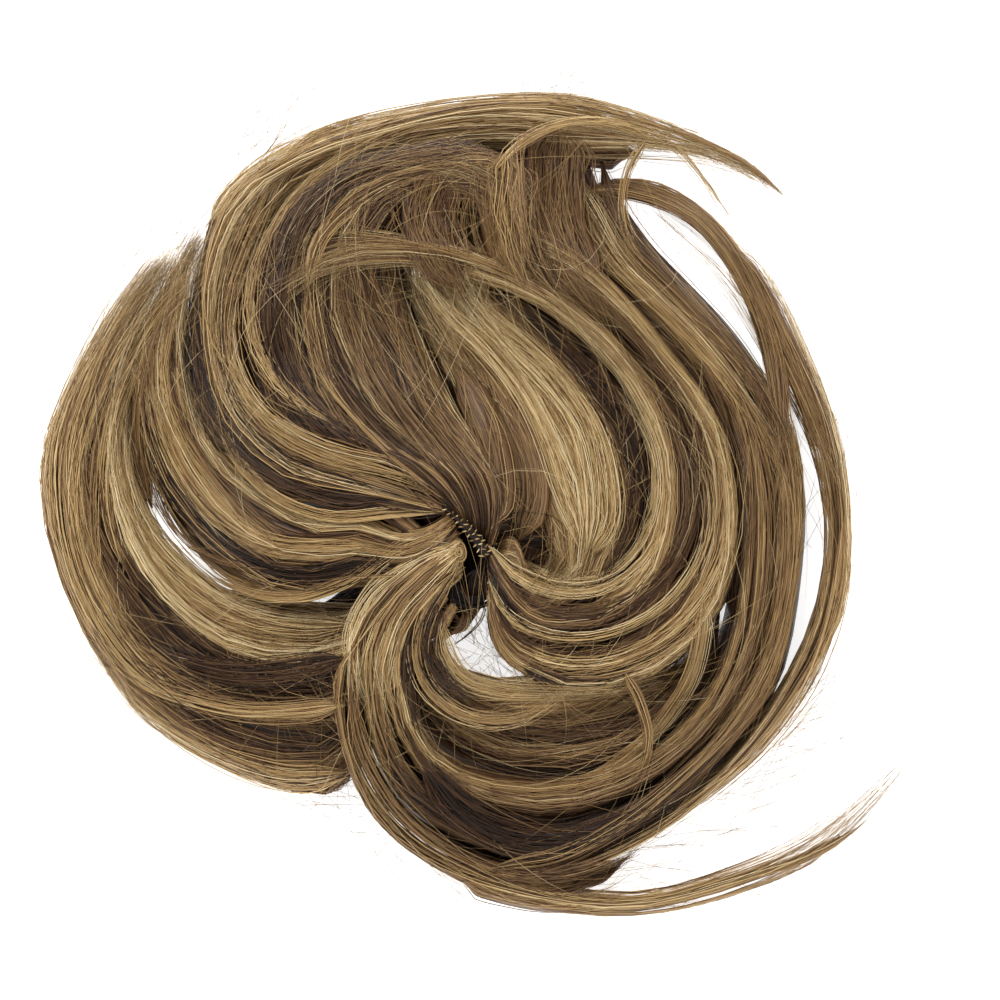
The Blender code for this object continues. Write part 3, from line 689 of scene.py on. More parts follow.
# Fine hairs that stray across the wefts or stand off their rims
#    x, y, spread in hundredths of SPREAD, heading in degrees, its spread, count
STRAY_PATCHES = (
    (-42, -22, 16, -78, 22, 60),
    (-62, -16, 12, -70, 30, 24),
    (5, -21, 6, 20, 80, 120),
    (22, 112, 16, 100, 30, 26),
    (72, -46, 8, 35, 30, 40),
    (-55, 100, 10, 45, 14, 26),
    (30, -36, 14, 40, 40, 26),
    (10, 80, 12, -60, 40, 30),
    (-20, 72, 14, 10, 25, 30),
    (30, 10, 12, 80, 35, 26),
    (10, 20, 12, 120, 30, 26),
    (62, -60, 14, 25, 18, 30),
    (40, -74, 12, 10, 20, 26),
    (-40, -57, 16, 0, 22, 26),
    (-20, -70, 8, -40, 25, 16),
    (84, 0, 12, 80, 25, 16),
    (18, 112, 10, 60, 40, 9),
    (-95, 20, 16, 95, 18, 18),
    (-78, 78, 14, 40, 18, 18),
)

# Hair colours from dark to light, as sRGB
HAIR_COLOURS = (
    (0.00, "1E1107"),
    (0.22, "50321A"),
    (0.40, "80603F"),
    (0.55, "9D7B4F"),
    (0.70, "BA9863"),
    (0.85, "D5B67D"),
    (1.00, "F3DFB2"),
)

# Finishes: each bump is its strength and its height in metres
HAIR_ROUGHNESS = 0.42
HAIR_SPECULAR = 0.45
HAIR_STREAKS = (2200.0, 14.0, 1.0)  # a metre, across and along a body
HAIR_STREAK_DETAIL = 3.0
HAIR_STREAK_TAKEN = (0.25, 0.75)  # of the noise
HAIR_STREAK_SHADES = (-0.30, 0.20)
HAIR_BUMP = (0.7, 0.0006)
WOVEN_ROUGHNESS = 0.85
WOVEN_SPECULAR = 0.15
WOVEN_DISTORTION = 2.0
WOVEN_BUMP = (0.6, 0.0003)
ELASTIC_LOOK = ("060506", "171416", 0.0035)  # dark, pale, pitch of its ribs
THREAD_LOOK = ("080707", "262120", 0.0020)

# Light, floor and camera
FLOOR_HALF = 3.0
FLOOR_GREY = 0.85
FLOOR_GLOW = 0.75
WORLD_STRENGTH = 0.70
SOFTBOXES = (
    ("key_light", (-0.5, 0.7, 1.4), 0.8, 17.5),
    ("fill_light", (0.9, -0.5, 1.2), 1.2, 6.8),
)
PHOTO_WIDTH = 0.270  # what the photograph's width spans at the hair
PHOTO_CENTRE = (0.075, 0.150)  # of SPREAD from the band's centre
CAMERA_HEIGHT = 1.2
CAMERA_LEVEL = 0.012  # the height at which PHOTO_WIDTH is met
SENSOR = 36.0

low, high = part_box("elastic_band")
band_top = high[2]
band_centre = (np.array(low) + np.array(high)) / 2
band_centre[2] = 0.0
track_outside = BAND_WALL + SEAT_GAP + TRACK_WALL
head_inside = track_outside + SEAT_GAP
hole_radius = HOLE_WIDTH / 2
straight_half = (HOLE_LENGTH - HOLE_WIDTH) / 2


def row_middle(row):
    """The height of the middle of a track row, from the frame."""
    bottom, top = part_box("weft_track_" + row)
    return (bottom[2] + top[2]) / 2


def turned(x, y, degrees):
    """A point turned about the origin."""
    lean = math.radians(degrees)
    return x * math.cos(lean) - y * math.sin(lean), x * math.sin(lean) + y * math.cos(lean)


def oval_point(share, offset):
    """As in the part: the point at a share of the way round the oval, offset outside
    the hole's wall, in the frame."""
    radius = hole_radius + offset
    half_round = math.pi * radius
    side = 2 * straight_half
    way = (share % 1.0) * 2 * (half_round + side)
    if way < straight_half:
        x, y = radius, way
    elif way < straight_half + half_round:
        angle = (way - straight_half) / radius
        x, y = radius * math.cos(angle), straight_half + radius * math.sin(angle)
    elif way < straight_half + half_round + side:
        x, y = -radius, straight_half - (way - straight_half - half_round)
    elif way < straight_half + 2 * half_round + side:
        angle = math.pi + (way - straight_half - half_round - side) / radius
        x, y = radius * math.cos(angle), -straight_half + radius * math.sin(angle)
    else:
        x, y = radius, way - 2 * (half_round + side)
    x, y = turned(x, y, BAND_LEAN)
    return band_centre[0] + x, band_centre[1] + y


def run(points):
    """How far along a row of points each one is."""
    return np.concatenate([[0], np.cumsum(np.linalg.norm(np.diff(points, axis=0), axis=1))])


def unit(vectors):
    return vectors / (np.linalg.norm(vectors, axis=-1, keepdims=True) + TINY)


def sideways(paths):
    """Unit vectors in plan to the left of paths."""
    flow = np.gradient(paths[..., :2], axis=-2)
    return unit(np.stack([-flow[..., 1], flow[..., 0]], -1))


def between(inner, outer, share):
    """Points between two spots, which are in shares of SPREAD from the band's centre."""
    return band_centre[:2] + (inner + (outer - inner) * share[:, None]) * SPREAD


def smooth_through(knots, at, values):
    """A smooth curve through values at the knots, read at the places in at."""
    spans = np.diff(knots)
    slopes = np.diff(values, axis=0) / spans[:, None]
    before, after = spans[:-1, None], spans[1:, None]
    inner = (slopes[1:] * before + slopes[:-1] * after) / (before + after)
    tangents = np.concatenate([slopes[:1], inner, slopes[-1:]])
    index = np.clip(np.searchsorted(knots, at, side="right") - 1, 0, len(spans) - 1)
    span = spans[index][:, None]
    t = ((at - knots[index]) / spans[index])[:, None]
    return (
        values[index] * (1 + 2 * t) * (1 - t) ** 2
        + tangents[index] * span * t * (1 - t) ** 2
        + values[index + 1] * t * t * (3 - 2 * t)
        + tangents[index + 1] * span * t * t * (t - 1)
    )


def stream_grid(sections, share_from, share_to, own_end, row, head_inner, head_outer):
    """A weft's stream as a grid of (x, y, lift, depth): stations along, lanes across."""
    lanes = np.linspace(0, 1, GRID_LANES + 1)
    lift = row_middle(row) - HEAD_HEIGHT / 2
    knots = []
    for offset in (head_inside, head_inside + HEAD_LENGTH):
        spots = [oval_point(head_inner + (head_outer - head_inner) * lane, offset) for lane in lanes]
        knots.append([(x, y, lift, HEAD_HEIGHT) for x, y in spots])
    taken = [(section, share_from, share_to) for section in sections]
    taken += [(section, 0.0, 1.0) for section in own_end]
    for section, start, end in taken:
        inner, outer, heights = np.array(section).reshape(3, 2) / THOUSAND
        plan = between(inner, outer, start + (end - start) * lanes)
        knots.append(np.hstack([plan, np.tile(heights * CROWN_HEIGHT, (len(lanes), 1))]))
    knots = np.array(knots)
    places = run(knots[:, GRID_LANES // 2, :3])
    at = np.linspace(0, places[-1], GRID_STATIONS)
    grid = smooth_through(places, at, knots.reshape(len(knots), -1))
    grid = grid.reshape(GRID_STATIONS, GRID_LANES + 1, 4)
    grid[..., 2] = np.maximum(grid[..., 2], 0)
    return grid, places[-1]


def on_stream(grid, way, across):
    """The grid read at shares way along and across, which may run past its sides."""
    row = np.clip(way, 0, 1) * (grid.shape[0] - 1)
    i = np.minimum(row.astype(int), grid.shape[0] - 2)
    col = across * (grid.shape[1] - 1)
    j = np.clip(np.floor(col).astype(int), 0, grid.shape[1] - 2)
    a = (row - i)[..., None]
    b = (col - j)[..., None]
    near = grid[i, j] * (1 - b) + grid[i, j + 1] * b
    far = grid[i + 1, j] * (1 - b) + grid[i + 1, j + 1] * b
    return near * (1 - a) + far * a


def dome(across):
    """The height of a weft's top as a share of its depth."""
    rim = np.clip(np.minimum(across, 1 - across) / RIM_RUN, 0, 1)
    arch = np.sqrt(1 - (1 - rim) ** 2)
    crest = 1 - DOME_DROP * (2 * np.clip(across, 0, 1) - 1) ** 4
    return EDGE_SHARE + (crest - EDGE_SHARE) * arch


def waves(chance, count, way, turns):
    """Smooth random waves of about unit height along way, one row for each of count."""
    total = 0
    for k, weight in enumerate(WAVE_WEIGHTS):
        phase = chance.uniform(0, 2 * math.pi, (count, 1))
        speed = chance.uniform(*WAVE_SPEEDS, (count, 1)) * turns * (k + 1)
        total = total + weight * np.sin(2 * math.pi * speed * way + phase)
    return total


def taper(steps, start, end):
    """How thick a strand is along its length: start and end give a run and a least size."""
    return (
        np.clip((1 - steps) / end[0], end[1], 1)
        * np.clip(steps / start[0] + start[1], 0, 1)
    )


def linear(text):
    """A hex sRGB colour as linear RGB, opaque."""
    parts = [int(text[k:k + 2], 16) / 255 for k in (0, 2, 4)]
    return (*(p / 12.92 if p <= 0.04045 else ((p + 0.055) / 1.055) ** 2.4 for p in parts), 1.0)


def node(tree, kind, inputs=None, **values):
    made = tree.nodes.new(kind)
    for key, value in values.items():
        setattr(made, key, value)
    for key, value in (inputs or {}).items():
        made.inputs[key].default_value = value
    return made


def plain_material(name, inputs):
    """A new material with its node tree and shader."""
    material = bpy.data.materials.new(name)
    material.use_nodes = True
    shader = material.node_tree.nodes["Principled BSDF"]
    for key, value in inputs.items():
        shader.inputs[key].default_value = value
    return material, material.node_tree, shader


def ramp_node(tree, colours, shader):
    """A colour ramp that gives the shader its colour."""
    ramp = node(tree, "ShaderNodeValToRGB")
    stops = ramp.color_ramp.elements
    while len(stops) < len(colours):
        stops.new(0.5)
    for stop, (place, text) in zip(stops, colours):
        stop.position = place
        stop.color = linear(text)
    tree.links.new(ramp.outputs["Color"], shader.inputs["Base Color"])
    return ramp


def add_bump(tree, height, shader, strength, distance):
    bump = node(tree, "ShaderNodeBump", {"Strength": strength, "Distance": distance})
    tree.links.new(height.outputs["Fac"], bump.inputs["Height"])
    tree.links.new(bump.outputs["Normal"], shader.inputs["Normal"])


def hair_material(name, streaked):
    """Hair whose colour follows each point's shade; a weft's body is streaked as well."""
    material, tree, shader = plain_material(name, {
        "Roughness": HAIR_ROUGHNESS, "Specular IOR Level": HAIR_SPECULAR,
    })
    ramp = ramp_node(tree, HAIR_COLOURS, shader)
    shade = node(tree, "ShaderNodeAttribute", attribute_name="shade")
    if not streaked:
        tree.links.new(shade.outputs["Fac"], ramp.inputs["Fac"])
        return material
    flow = node(tree, "ShaderNodeUVMap", uv_map="flow")
    stretch = node(tree, "ShaderNodeMapping", {"Scale": HAIR_STREAKS})
    tree.links.new(flow.outputs["UV"], stretch.inputs["Vector"])
    noise = node(
        tree, "ShaderNodeTexNoise", {"Scale": 1.0, "Detail": HAIR_STREAK_DETAIL},
        noise_dimensions="2D",
    )
    tree.links.new(stretch.outputs["Vector"], noise.inputs["Vector"])
    spread = node(tree, "ShaderNodeMapRange", {
        "From Min": HAIR_STREAK_TAKEN[0], "From Max": HAIR_STREAK_TAKEN[1],
        "To Min": HAIR_STREAK_SHADES[0], "To Max": HAIR_STREAK_SHADES[1],
    })
    tree.links.new(noise.outputs["Fac"], spread.inputs["Value"])
    total = node(tree, "ShaderNodeMath", operation="ADD", use_clamp=True)
    tree.links.new(shade.outputs["Fac"], total.inputs[0])
    tree.links.new(spread.outputs["Result"], total.inputs[1])
    tree.links.new(total.outputs["Value"], ramp.inputs["Fac"])
    add_bump(tree, noise, shader, *HAIR_BUMP)
    return material


def woven_material(name, dark, pale, pitch):
    """Black elastic or thread: fine ribs with a little lint."""
    material, tree, shader = plain_material(name, {
        "Roughness": WOVEN_ROUGHNESS, "Specular IOR Level": WOVEN_SPECULAR,
    })
    where = node(tree, "ShaderNodeTexCoord")
    ribs = node(
        tree, "ShaderNodeTexWave", {"Scale": 1 / pitch, "Distortion": WOVEN_DISTORTION},
        bands_direction="Z",
    )
    tree.links.new(where.outputs["Object"], ribs.inputs["Vector"])
    ramp = ramp_node(tree, ((0.0, dark), (1.0, pale)), shader)
    tree.links.new(ribs.outputs["Fac"], ramp.inputs["Fac"])
    add_bump(tree, ribs, shader, *WOVEN_BUMP)
    return material


STRAND_HAIR = hair_material("strand_hair", streaked=False)
ELASTIC = woven_material("black_elastic", *ELASTIC_LOOK)
THREAD = woven_material("black_thread", *THREAD_LOOK)
BODY_HAIR = hair_material("body_hair", streaked=True)


def solid_mesh(name, points, quads, triangles, shade=None, uv=None, uv_name="flow"):
    """A mesh object from arrays, smooth, with its shade on each point and its map."""
    mesh = bpy.data.meshes.new(name)
    corners = np.concatenate([quads.ravel(), triangles.ravel()])
    starts = np.concatenate([
        np.arange(len(quads)) * 4,
        len(quads) * 4 + np.arange(len(triangles)) * 3,
    ])
    mesh.vertices.add(len(points))
    mesh.vertices.foreach_set("co", points.astype(np.float32).ravel())
    mesh.loops.add(len(corners))
    mesh.loops.foreach_set("vertex_index", corners.astype(np.int32))
    mesh.polygons.add(len(starts))
    mesh.polygons.foreach_set("loop_start", starts.astype(np.int32))
    mesh.update(calc_edges=True)
    mesh.shade_smooth()
    if shade is not None:
        layer = mesh.attributes.new("shade", "FLOAT", "POINT")
        layer.data.foreach_set("value", shade.astype(np.float32).ravel())
        layer = mesh.uv_layers.new(name=uv_name)
        layer.uv.foreach_set("vector", uv.astype(np.float32).ravel())
    thing = bpy.data.objects.new(name, mesh)
    bpy.context.scene.collection.objects.link(thing)
    return thing


def finished(thing, material):
    """Gives a piece its material and lets it ride on the body."""
    thing.data.materials.append(material)
    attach(thing, BODY)
    return thing


def tube_quads(rows, around):
    """The quads of a tube with rows of points, around of them in each."""
    m, k = np.meshgrid(np.arange(rows - 1), np.arange(around), indexing="ij")
    here, there, after = m * around, (m + 1) * around, (k + 1) % around
    return np.stack([here + k, here + after, there + after, there + k], -1).reshape(-1, 4)


def strands_object(name, paths, radii, shade, material=STRAND_HAIR):
    """Closed three-sided tubes along paths, an array of strands by stations by xyz."""
    count, stations = paths.shape[:2]
    radii, shade = (np.broadcast_to(values, (count, stations)) for values in (radii, shade))
    along = unit(np.gradient(paths, axis=1))
    side = unit(np.cross(along, (0, 0, 1.0)))
    over = np.cross(side, along)
    rings = [
        paths + radii[..., None] * (math.cos(turn) * side + math.sin(turn) * over)
        for turn in np.radians((90, 210, 330))
    ]
    points = np.stack(rings, axis=2).reshape(-1, 3)
    base = (np.arange(count)[:, None] * stations + np.arange(stations - 1)) * 3
    quads = np.stack([
        np.stack([base + k, base + 3 + k, base + 3 + (k + 1) % 3, base + (k + 1) % 3], axis=-1)
        for k in range(3)
    ], axis=2).reshape(-1, 4)
    first = np.arange(count) * stations * 3
    last = first + (stations - 1) * 3
    caps = np.concatenate([
        np.stack([first, first + 1, first + 2], axis=1),
        np.stack([last + 2, last + 1, last], axis=1),
    ])
    # The map lays each strand in a column of its own
    i, m, k = np.meshgrid(np.arange(count), np.arange(stations - 1), np.arange(3), indexing="ij")
    left, right = (i + k / 3) / count, (i + (k + 1) / 3) / count
    lower, upper = m / (stations - 1), (m + 1) / (stations - 1)
    corners = ((left, lower), (left, upper), (right, upper), (right, lower))
    uv = np.stack([np.stack(corner, -1) for corner in corners], 3).reshape(-1, 2)
    left = np.tile(np.arange(count) / count, 2)
    lower = np.repeat([0.0, 1.0 - 1 / stations], count)
    corners = ((left, lower), (left + 1 / count, lower), (left, lower + 1 / stations))
    cap_uv = np.stack([np.stack(corner, 1) for corner in corners], 1).reshape(-1, 2)
    uv = np.concatenate([uv, cap_uv])
    thing = solid_mesh(name, points, quads, caps, np.repeat(shade, 3, axis=-1), uv, "OFBake")
    return finished(thing, material)


class Drape:
    """The height of the hair's top over the floor, kept in square cells."""

    def __init__(self):
        self.size = round(2 * DRAPE_HALF / DRAPE_CELL)
        self.heights = np.zeros((self.size, self.size))

    def cells(self, x, y):
        return tuple(
            np.clip(((place + DRAPE_HALF) / DRAPE_CELL).astype(int), 0, self.size - 1)
            for place in (x, y)
        )

    def lay(self, x, y, z):
        np.maximum.at(self.heights, self.cells(x, y), z)

    def settle(self):
        """Closes pinholes between samples."""
        padded = np.pad(self.heights, 1)
        around = [padded[i:i + self.size, j:j + self.size] for i in range(3) for j in range(3)]
        self.heights = np.maximum(self.heights, np.median(around, axis=0))

    def along(self, x, y):
        """The height under paths, with no drop steeper than hair would take."""
        z = self.heights[self.cells(x, y)].copy()
        steps = np.hypot(np.diff(x, axis=-1), np.diff(y, axis=-1)) * DRAPE_SLOPE
        for k in range(1, z.shape[-1]):
            z[..., k] = np.maximum(z[..., k], z[..., k - 1] - steps[..., k - 1])
        for k in range(z.shape[-1] - 2, -1, -1):
            z[..., k] = np.maximum(z[..., k], z[..., k + 1] - steps[..., k])
        for _ in range(DRAPE_SOFTENING):
            z[..., 1:-1] = (z[..., :-2] + 2 * z[..., 1:-1] + z[..., 2:]) / 4
        return z


def body_arrays(grid, length, ridges, streak_and_shade, cells, body_end=PLAIN_END[0]):
    """A closed streaked body on a grid, a little inside its coat of strands."""
    along, lanes = cells
    way = np.linspace(0, body_end, along)[:, None]
    narrow = np.clip((body_end - way) / CORE_TIP, CORE_TIP_LEAST, 1) ** CORE_TIP_ROUNDING
    across = 0.5 + (np.linspace(0, 1, lanes + 1) - 0.5) * narrow
    spots = on_stream(grid, way, across)
    relief = LOCK_RELIEF * ridges(across) * np.clip(way / RISE_RUN, 0, 1)
    depth = spots[..., 3] * (CORE_TIP_DEPTH + (1 - CORE_TIP_DEPTH) * narrow)
    rise = np.maximum(depth * dome(across) + relief - CORE_INSET, depth * CORE_LEAST_DEPTH)
    top = spots[..., 2] + rise
    lip = 1 - np.clip(np.minimum(across, 1 - across) / CORE_LIP, 0, 1)
    under = spots[..., 2] + depth * EDGE_SHARE * lip
    top[:, [0, -1]] = (top[:, [0, -1]] + under[:, [0, -1]]) / 2
    upper = np.concatenate([spots[..., :2], top[..., None]], -1)
    lower = np.concatenate([spots[..., :2], under[..., None]], -1)[:, 1:-1]
    loop = np.concatenate([upper, lower[:, ::-1]], axis=1)
    around = loop.shape[1]
    # Each end is closed by faces between the top and the underside
    caps, tips = [], []
    for row, turn_over in ((0, True), (along - 1, False)):
        for lane in range(lanes):
            b = lane + 1
            c = around - b if b < lanes else lanes
            d = around - lane if lane > 0 else 0
            ring = list(dict.fromkeys([lane, b, c, d]))
            ring = [row * around + spot for spot in (ring[::-1] if turn_over else ring)]
            (caps if len(ring) == 4 else tips).append(ring)
    quads = np.concatenate([tube_quads(along, around), np.array(caps)])
    triangles = np.array(tips)
    mean_width = np.linalg.norm(grid[:, 0, :2] - grid[:, -1, :2], axis=1).mean()
    sweep = np.linspace(0, 1, lanes + 1)
    share_of = np.concatenate([sweep, sweep[1:-1][::-1]])
    where = np.concatenate([quads.ravel(), triangles.ravel()])
    uv = np.stack([share_of[where % around] * mean_width, where // around / (along - 1) * length], 1)
    # The body is darker than its coat by painted shade, as deeper hair
    return loop.reshape(-1, 3), quads, triangles, streak_and_shade(share_of, way).ravel() - CORE_PAINTED_SHADE, uv


def even(lightness):
    """One lightness all over a body."""
    return lambda across, way: np.full(np.broadcast(across, way).shape, lightness)


def place_body(name, parts):
    """Bodies' arrays as one piece."""
    points, quads, triangles, shades, maps = zip(*parts)
    totals = np.cumsum([0] + [len(spots) for spots in points])
    thing = solid_mesh(
        name,
        np.concatenate(points),
        np.concatenate([faces + total for faces, total in zip(quads, totals)]),
        np.concatenate([faces + total for faces, total in zip(triangles, totals)]),
        np.concatenate(shades),
        np.concatenate(
            [uv[:faces.size] for uv, faces in zip(maps, quads)]
            + [uv[faces.size:] for uv, faces in zip(maps, quads)]
        ),
    )
    return finished(thing, BODY_HAIR)


def lock_table(chance, width):
    """Random locks across a weft: where each starts, its middle and its width."""
    sizes = chance.uniform(*LOCK_SIZES, max(3, round(width / LOCK_WIDTH)))
    ends = np.cumsum(sizes) / sizes.sum()
    starts = np.concatenate([[0], ends[:-1]])
    return starts, (starts + ends) / 2, ends - starts


def rooted(paths, root, lane, chance):
    """Strands bent at their start to come off the band's top."""
    inner, outer = np.array(root).reshape(2, 2) / THOUSAND
    count = len(paths)
    start = np.column_stack([between(inner, outer, lane), np.full(count, band_top + ROOT_RISE)])
    start += chance.normal(0, ROOT_SCATTER, (count, 3))
    meet = paths[:, ROOT_STATIONS]
    heading = unit(paths[:, ROOT_STATIONS + 1] - meet)
    guide = meet - heading * np.linalg.norm(meet - start, axis=1, keepdims=True) / 2
    guide[:, 2] = np.maximum(guide[:, 2], band_top + 2 * ROOT_RISE)
    s = np.linspace(0, 1, ROOT_STATIONS + 1)[None, :, None]
    bend = (1 - s) ** 2 * start[:, None] + 2 * s * (1 - s) * guide[:, None] + s ** 2 * meet[:, None]
    paths[:, :ROOT_STATIONS + 1] = bend
    return paths


def fanned(paths, steps, chance, size, start):
    """Strands whose ends fan out in plan, from a share of their length on."""
    swell = np.clip((steps - start) / (1 - start), 0, 1) ** 2
    fan = chance.normal(0, 0.5, len(paths))[:, None] * size * swell
    paths[..., :2] += sideways(paths) * fan[..., None]
    return paths


def under_body(name, grid, length, ridges, body_end):
    """The hair under a weft, which shows past its sides, kept dark as painted shade between the wefts."""
    inner, outer = UNDER_SPILLS[name]
    lanes = np.linspace(-inner, 1 + outer, GRID_LANES + 1)
    spread = on_stream(grid, np.linspace(0, 1, GRID_STATIONS)[:, None], lanes[None, :])
    spread[..., 2] = np.maximum(grid[..., 2] * UNDER_LIFT, 0)
    spread[..., 3] = grid[..., 3] * UNDER_DEPTH
    return body_arrays(spread, length, ridges, even(UNDER_PAINTED_SHADE), UNDER_CELLS, body_end)


def dress(name, grid, length, chance):
    """One weft's body and its coat of strands."""
    widths = np.linalg.norm(grid[:, 0, :2] - grid[:, -1, :2], axis=1)
    width = np.sort(widths)[len(widths) // 2:].mean()
    starts, middles, sizes = lock_table(chance, width)
    body_end, shortfall, tip_fan = WEFT_ENDS.get(name, PLAIN_END)
    places, values = np.array(STREAKS[name]).T / HUNDRED
    tone_and_shade_places, tone_and_shade_values = np.array(TONES_AND_PAINTED_SHADE.get(name, EVEN_TONE)).T / HUNDRED

    def ridges(across):
        lock = np.clip(np.searchsorted(starts, across, side="right") - 1, 0, len(starts) - 1)
        return 1 - ((across - middles[lock]) / sizes[lock] * 2) ** 2

    # Lightness across from the streaks, and along from the tones, which include painted shade
    def streak_and_shade(across, way):
        return np.interp(across, places, values) + np.interp(way, tone_and_shade_places, tone_and_shade_values)

    body = place_body(
        name + "_body", [body_arrays(grid, length, ridges, streak_and_shade, WEFT_CELLS, body_end)],
    )
    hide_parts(name)
    if name in UNDER_SPILLS:
        under_bodies.append(under_body(name, grid, length, ridges, body_end))
    count = max(LEAST_STRANDS, round(width * STRANDS_PER_METRE))
    lock = chance.choice(len(starts), count, p=sizes)
    place = chance.uniform(-LOCK_FILL, LOCK_FILL, count)
    lock_end = chance.uniform(*LOCK_ENDS, len(starts))
    lock_rise = chance.uniform(0.0, LOOSE_HEIGHT, len(starts))
    lock_shade = chance.normal(0, LOCK_SHADES, len(starts))
    end = lock_end[lock] - np.minimum(chance.exponential(shortfall, count), MOST_SHORTFALL)
    rooting = np.linspace(0, ROOT_SHARE, ROOT_STATIONS + 1)[:-1]
    steps = np.concatenate([rooting, np.linspace(ROOT_SHARE, 1, round(length / STRAND_STEP))])
    way = end[:, None] * steps
    lock_sway = waves(chance, len(starts), steps, LOCK_SWAY_TURNS)[lock]
    own_sway = waves(chance, count, way, OWN_SWAY_TURNS)
    wander = STRAND_WANDER[0] + chance.exponential(STRAND_WANDER[1], count)[:, None]
    own_width = sizes[lock][:, None]
    across = (
        middles[lock][:, None]
        + place[:, None] * own_width * (1 - PINCH * way ** 3)
        + lock_sway * own_width * LOCK_SWAY * np.clip(way / LOCK_SWAY_RUN, 0, 1)
        + own_sway * wander
    )
    across = np.clip(across, -COAT_OVERHANG, 1 + COAT_OVERHANG)
    rim = chance.random(count) < RIM_STRANDS
    side = np.where(chance.random(count) < 0.5, -RIM_OVERHANG, 1 + RIM_OVERHANG)
    across = np.where(rim[:, None], side[:, None] + own_sway * 2 * RIM_OVERHANG, across)
    spots = on_stream(grid, way, across)
    share = np.where(rim, chance.uniform(*RIM_LEVELS, count), 1.0)[:, None]
    loose = chance.exponential(STAND_MEAN, count)[:, None]
    loose = loose - STAND_SWAY + STAND_SWAY * waves(chance, count, way, STAND_TURNS)
    relief = LOCK_RELIEF * (1 - (2 * place[:, None]) ** 2)
    rise = relief + lock_rise[lock][:, None] + loose * LOOSE_HEIGHT
    top = spots[..., 3] * dome(across) + rise * np.clip(way / RISE_RUN, 0, 1)
    height = np.maximum(spots[..., 2] + top * share, STRAND_RADIUS)
    paths = np.concatenate([spots[..., :2], height[..., None]], -1)
    paths = fanned(paths, steps, chance, tip_fan, FAN_START)
    if name in ROOTS:
        paths = rooted(paths, ROOTS[name], across[:, 0], chance)
    sizes = chance.uniform(*STRAND_SIZES, count)[:, None]
    radii = STRAND_RADIUS * sizes * taper(steps, STRAND_START, STRAND_END)
    own_shade = lock_shade[lock] + chance.normal(0, STRAND_SHADES, count)
    # Painted shade in the creases between locks, on the strands at each lock's edges
    own_shade -= LOCK_EDGE_PAINTED_SHADE * (2 * place) ** 4
    shade = streak_and_shade(across.mean(axis=1, keepdims=True), way) + own_shade[:, None]
    # Painted shade: strands darken towards the band, for the shade at their roots
    shade = np.clip(shade - ROOT_PAINTED_SHADE * (1 - np.clip(way / ROOT_PAINTED_SHADE_RUN, 0, 1)), 0, 1)
    strands_object(name + "_strands", paths, radii, shade)
    top = on_stream(grid, *TOP_SAMPLES)
    height = top[..., 2] + top[..., 3] * dome(TOP_SAMPLES[1]) + LOCK_RELIEF
    drape.lay(top[..., 0], top[..., 1], height)
    return paths


def path_grid(path, width):
    """A lock's stream along a path: over the hair, or where the path has heights, at them."""
    knots = np.array(path) / HUNDRED
    knots[:, :2] = knots[:, :2] * SPREAD + band_centre[:2]
    places = run(knots[:, :2])
    spine = smooth_through(places, np.linspace(0, places[-1], LOOSE_STATIONS), knots)
    ways = np.linspace(0, 1, LOOSE_STATIONS)
    opening = np.clip(ways / LOOSE_OPENING[0], LOOSE_OPENING[1], 1)
    closing = np.clip((1 - ways) / LOOSE_CLOSING[0], LOOSE_CLOSING[1], 1)
    body = np.minimum(opening, closing)
    offsets = np.linspace(-0.5, 0.5, LOOSE_LANES)[None, :] * width * body[:, None]
    plan = spine[:, None, :2] + sideways(spine)[:, None] * offsets[..., None]
    if spine.shape[1] == 3:
        lift = np.repeat(spine[:, 2:] * CROWN_HEIGHT, LOOSE_LANES, 1)
        depth = np.full_like(lift, UNDER_LOCK_DEPTH)
    else:
        lift = drape.along(plan[..., 0].T, plan[..., 1].T).T
        depth = np.full_like(lift, LOOSE_DEPTH)
    return np.concatenate([plan, lift[..., None], depth[..., None]], -1), places[-1]


def loose_lock(width, lightness, filled, path, chance, per_metre=LOOSE_STRANDS_PER_METRE):
    """A lock's strands along its path, and its body where it has one."""
    width, lightness = width / TENTHS_PER_METRE, lightness / HUNDRED
    grid, length = path_grid(path, width)
    count = max(LOOSE_LEAST_STRANDS, round(width * per_metre))
    steps = np.linspace(0, 1, LOOSE_STRAND_STATIONS)
    start = chance.uniform(*LOOSE_STARTS, count)
    end = chance.uniform(*LOOSE_ENDS, count)
    way = start[:, None] + (end - start)[:, None] * steps
    place = chance.normal(0, LOOSE_SCATTER, count)
    place = np.clip(place, -LOOSE_HALF_WIDTH, LOOSE_HALF_WIDTH)
    sway = waves(chance, count, way, LOOSE_SWAY_TURNS)
    across = 0.5 + place[:, None] * (1 - LOOSE_PINCH * way ** 2) + LOOSE_SWAY * sway
    spots = on_stream(grid, way, across)
    stand = chance.exponential(LOOSE_FLOAT[0], count)[:, None] + LOOSE_FLOAT[1] * sway
    height = np.maximum(spots[..., 2] + spots[..., 3] + stand, STRAND_RADIUS)
    paths = np.concatenate([spots[..., :2], height[..., None]], -1)
    paths = fanned(paths, steps, chance, LOOSE_FAN, LOOSE_FAN_START)
    sizes = chance.uniform(*LOOSE_SIZES, count)[:, None]
    radii = STRAND_RADIUS * sizes * taper(steps, LOOSE_STRAND_START, LOOSE_STRAND_END)
    shade = np.clip(lightness + chance.normal(0, LOOSE_SHADES, count), 0, 1)[:, None]
    if not filled:
        return paths, radii, shade, None
    return paths, radii, shade, body_arrays(grid, length, np.zeros_like, even(lightness), LOCK_CELLS)


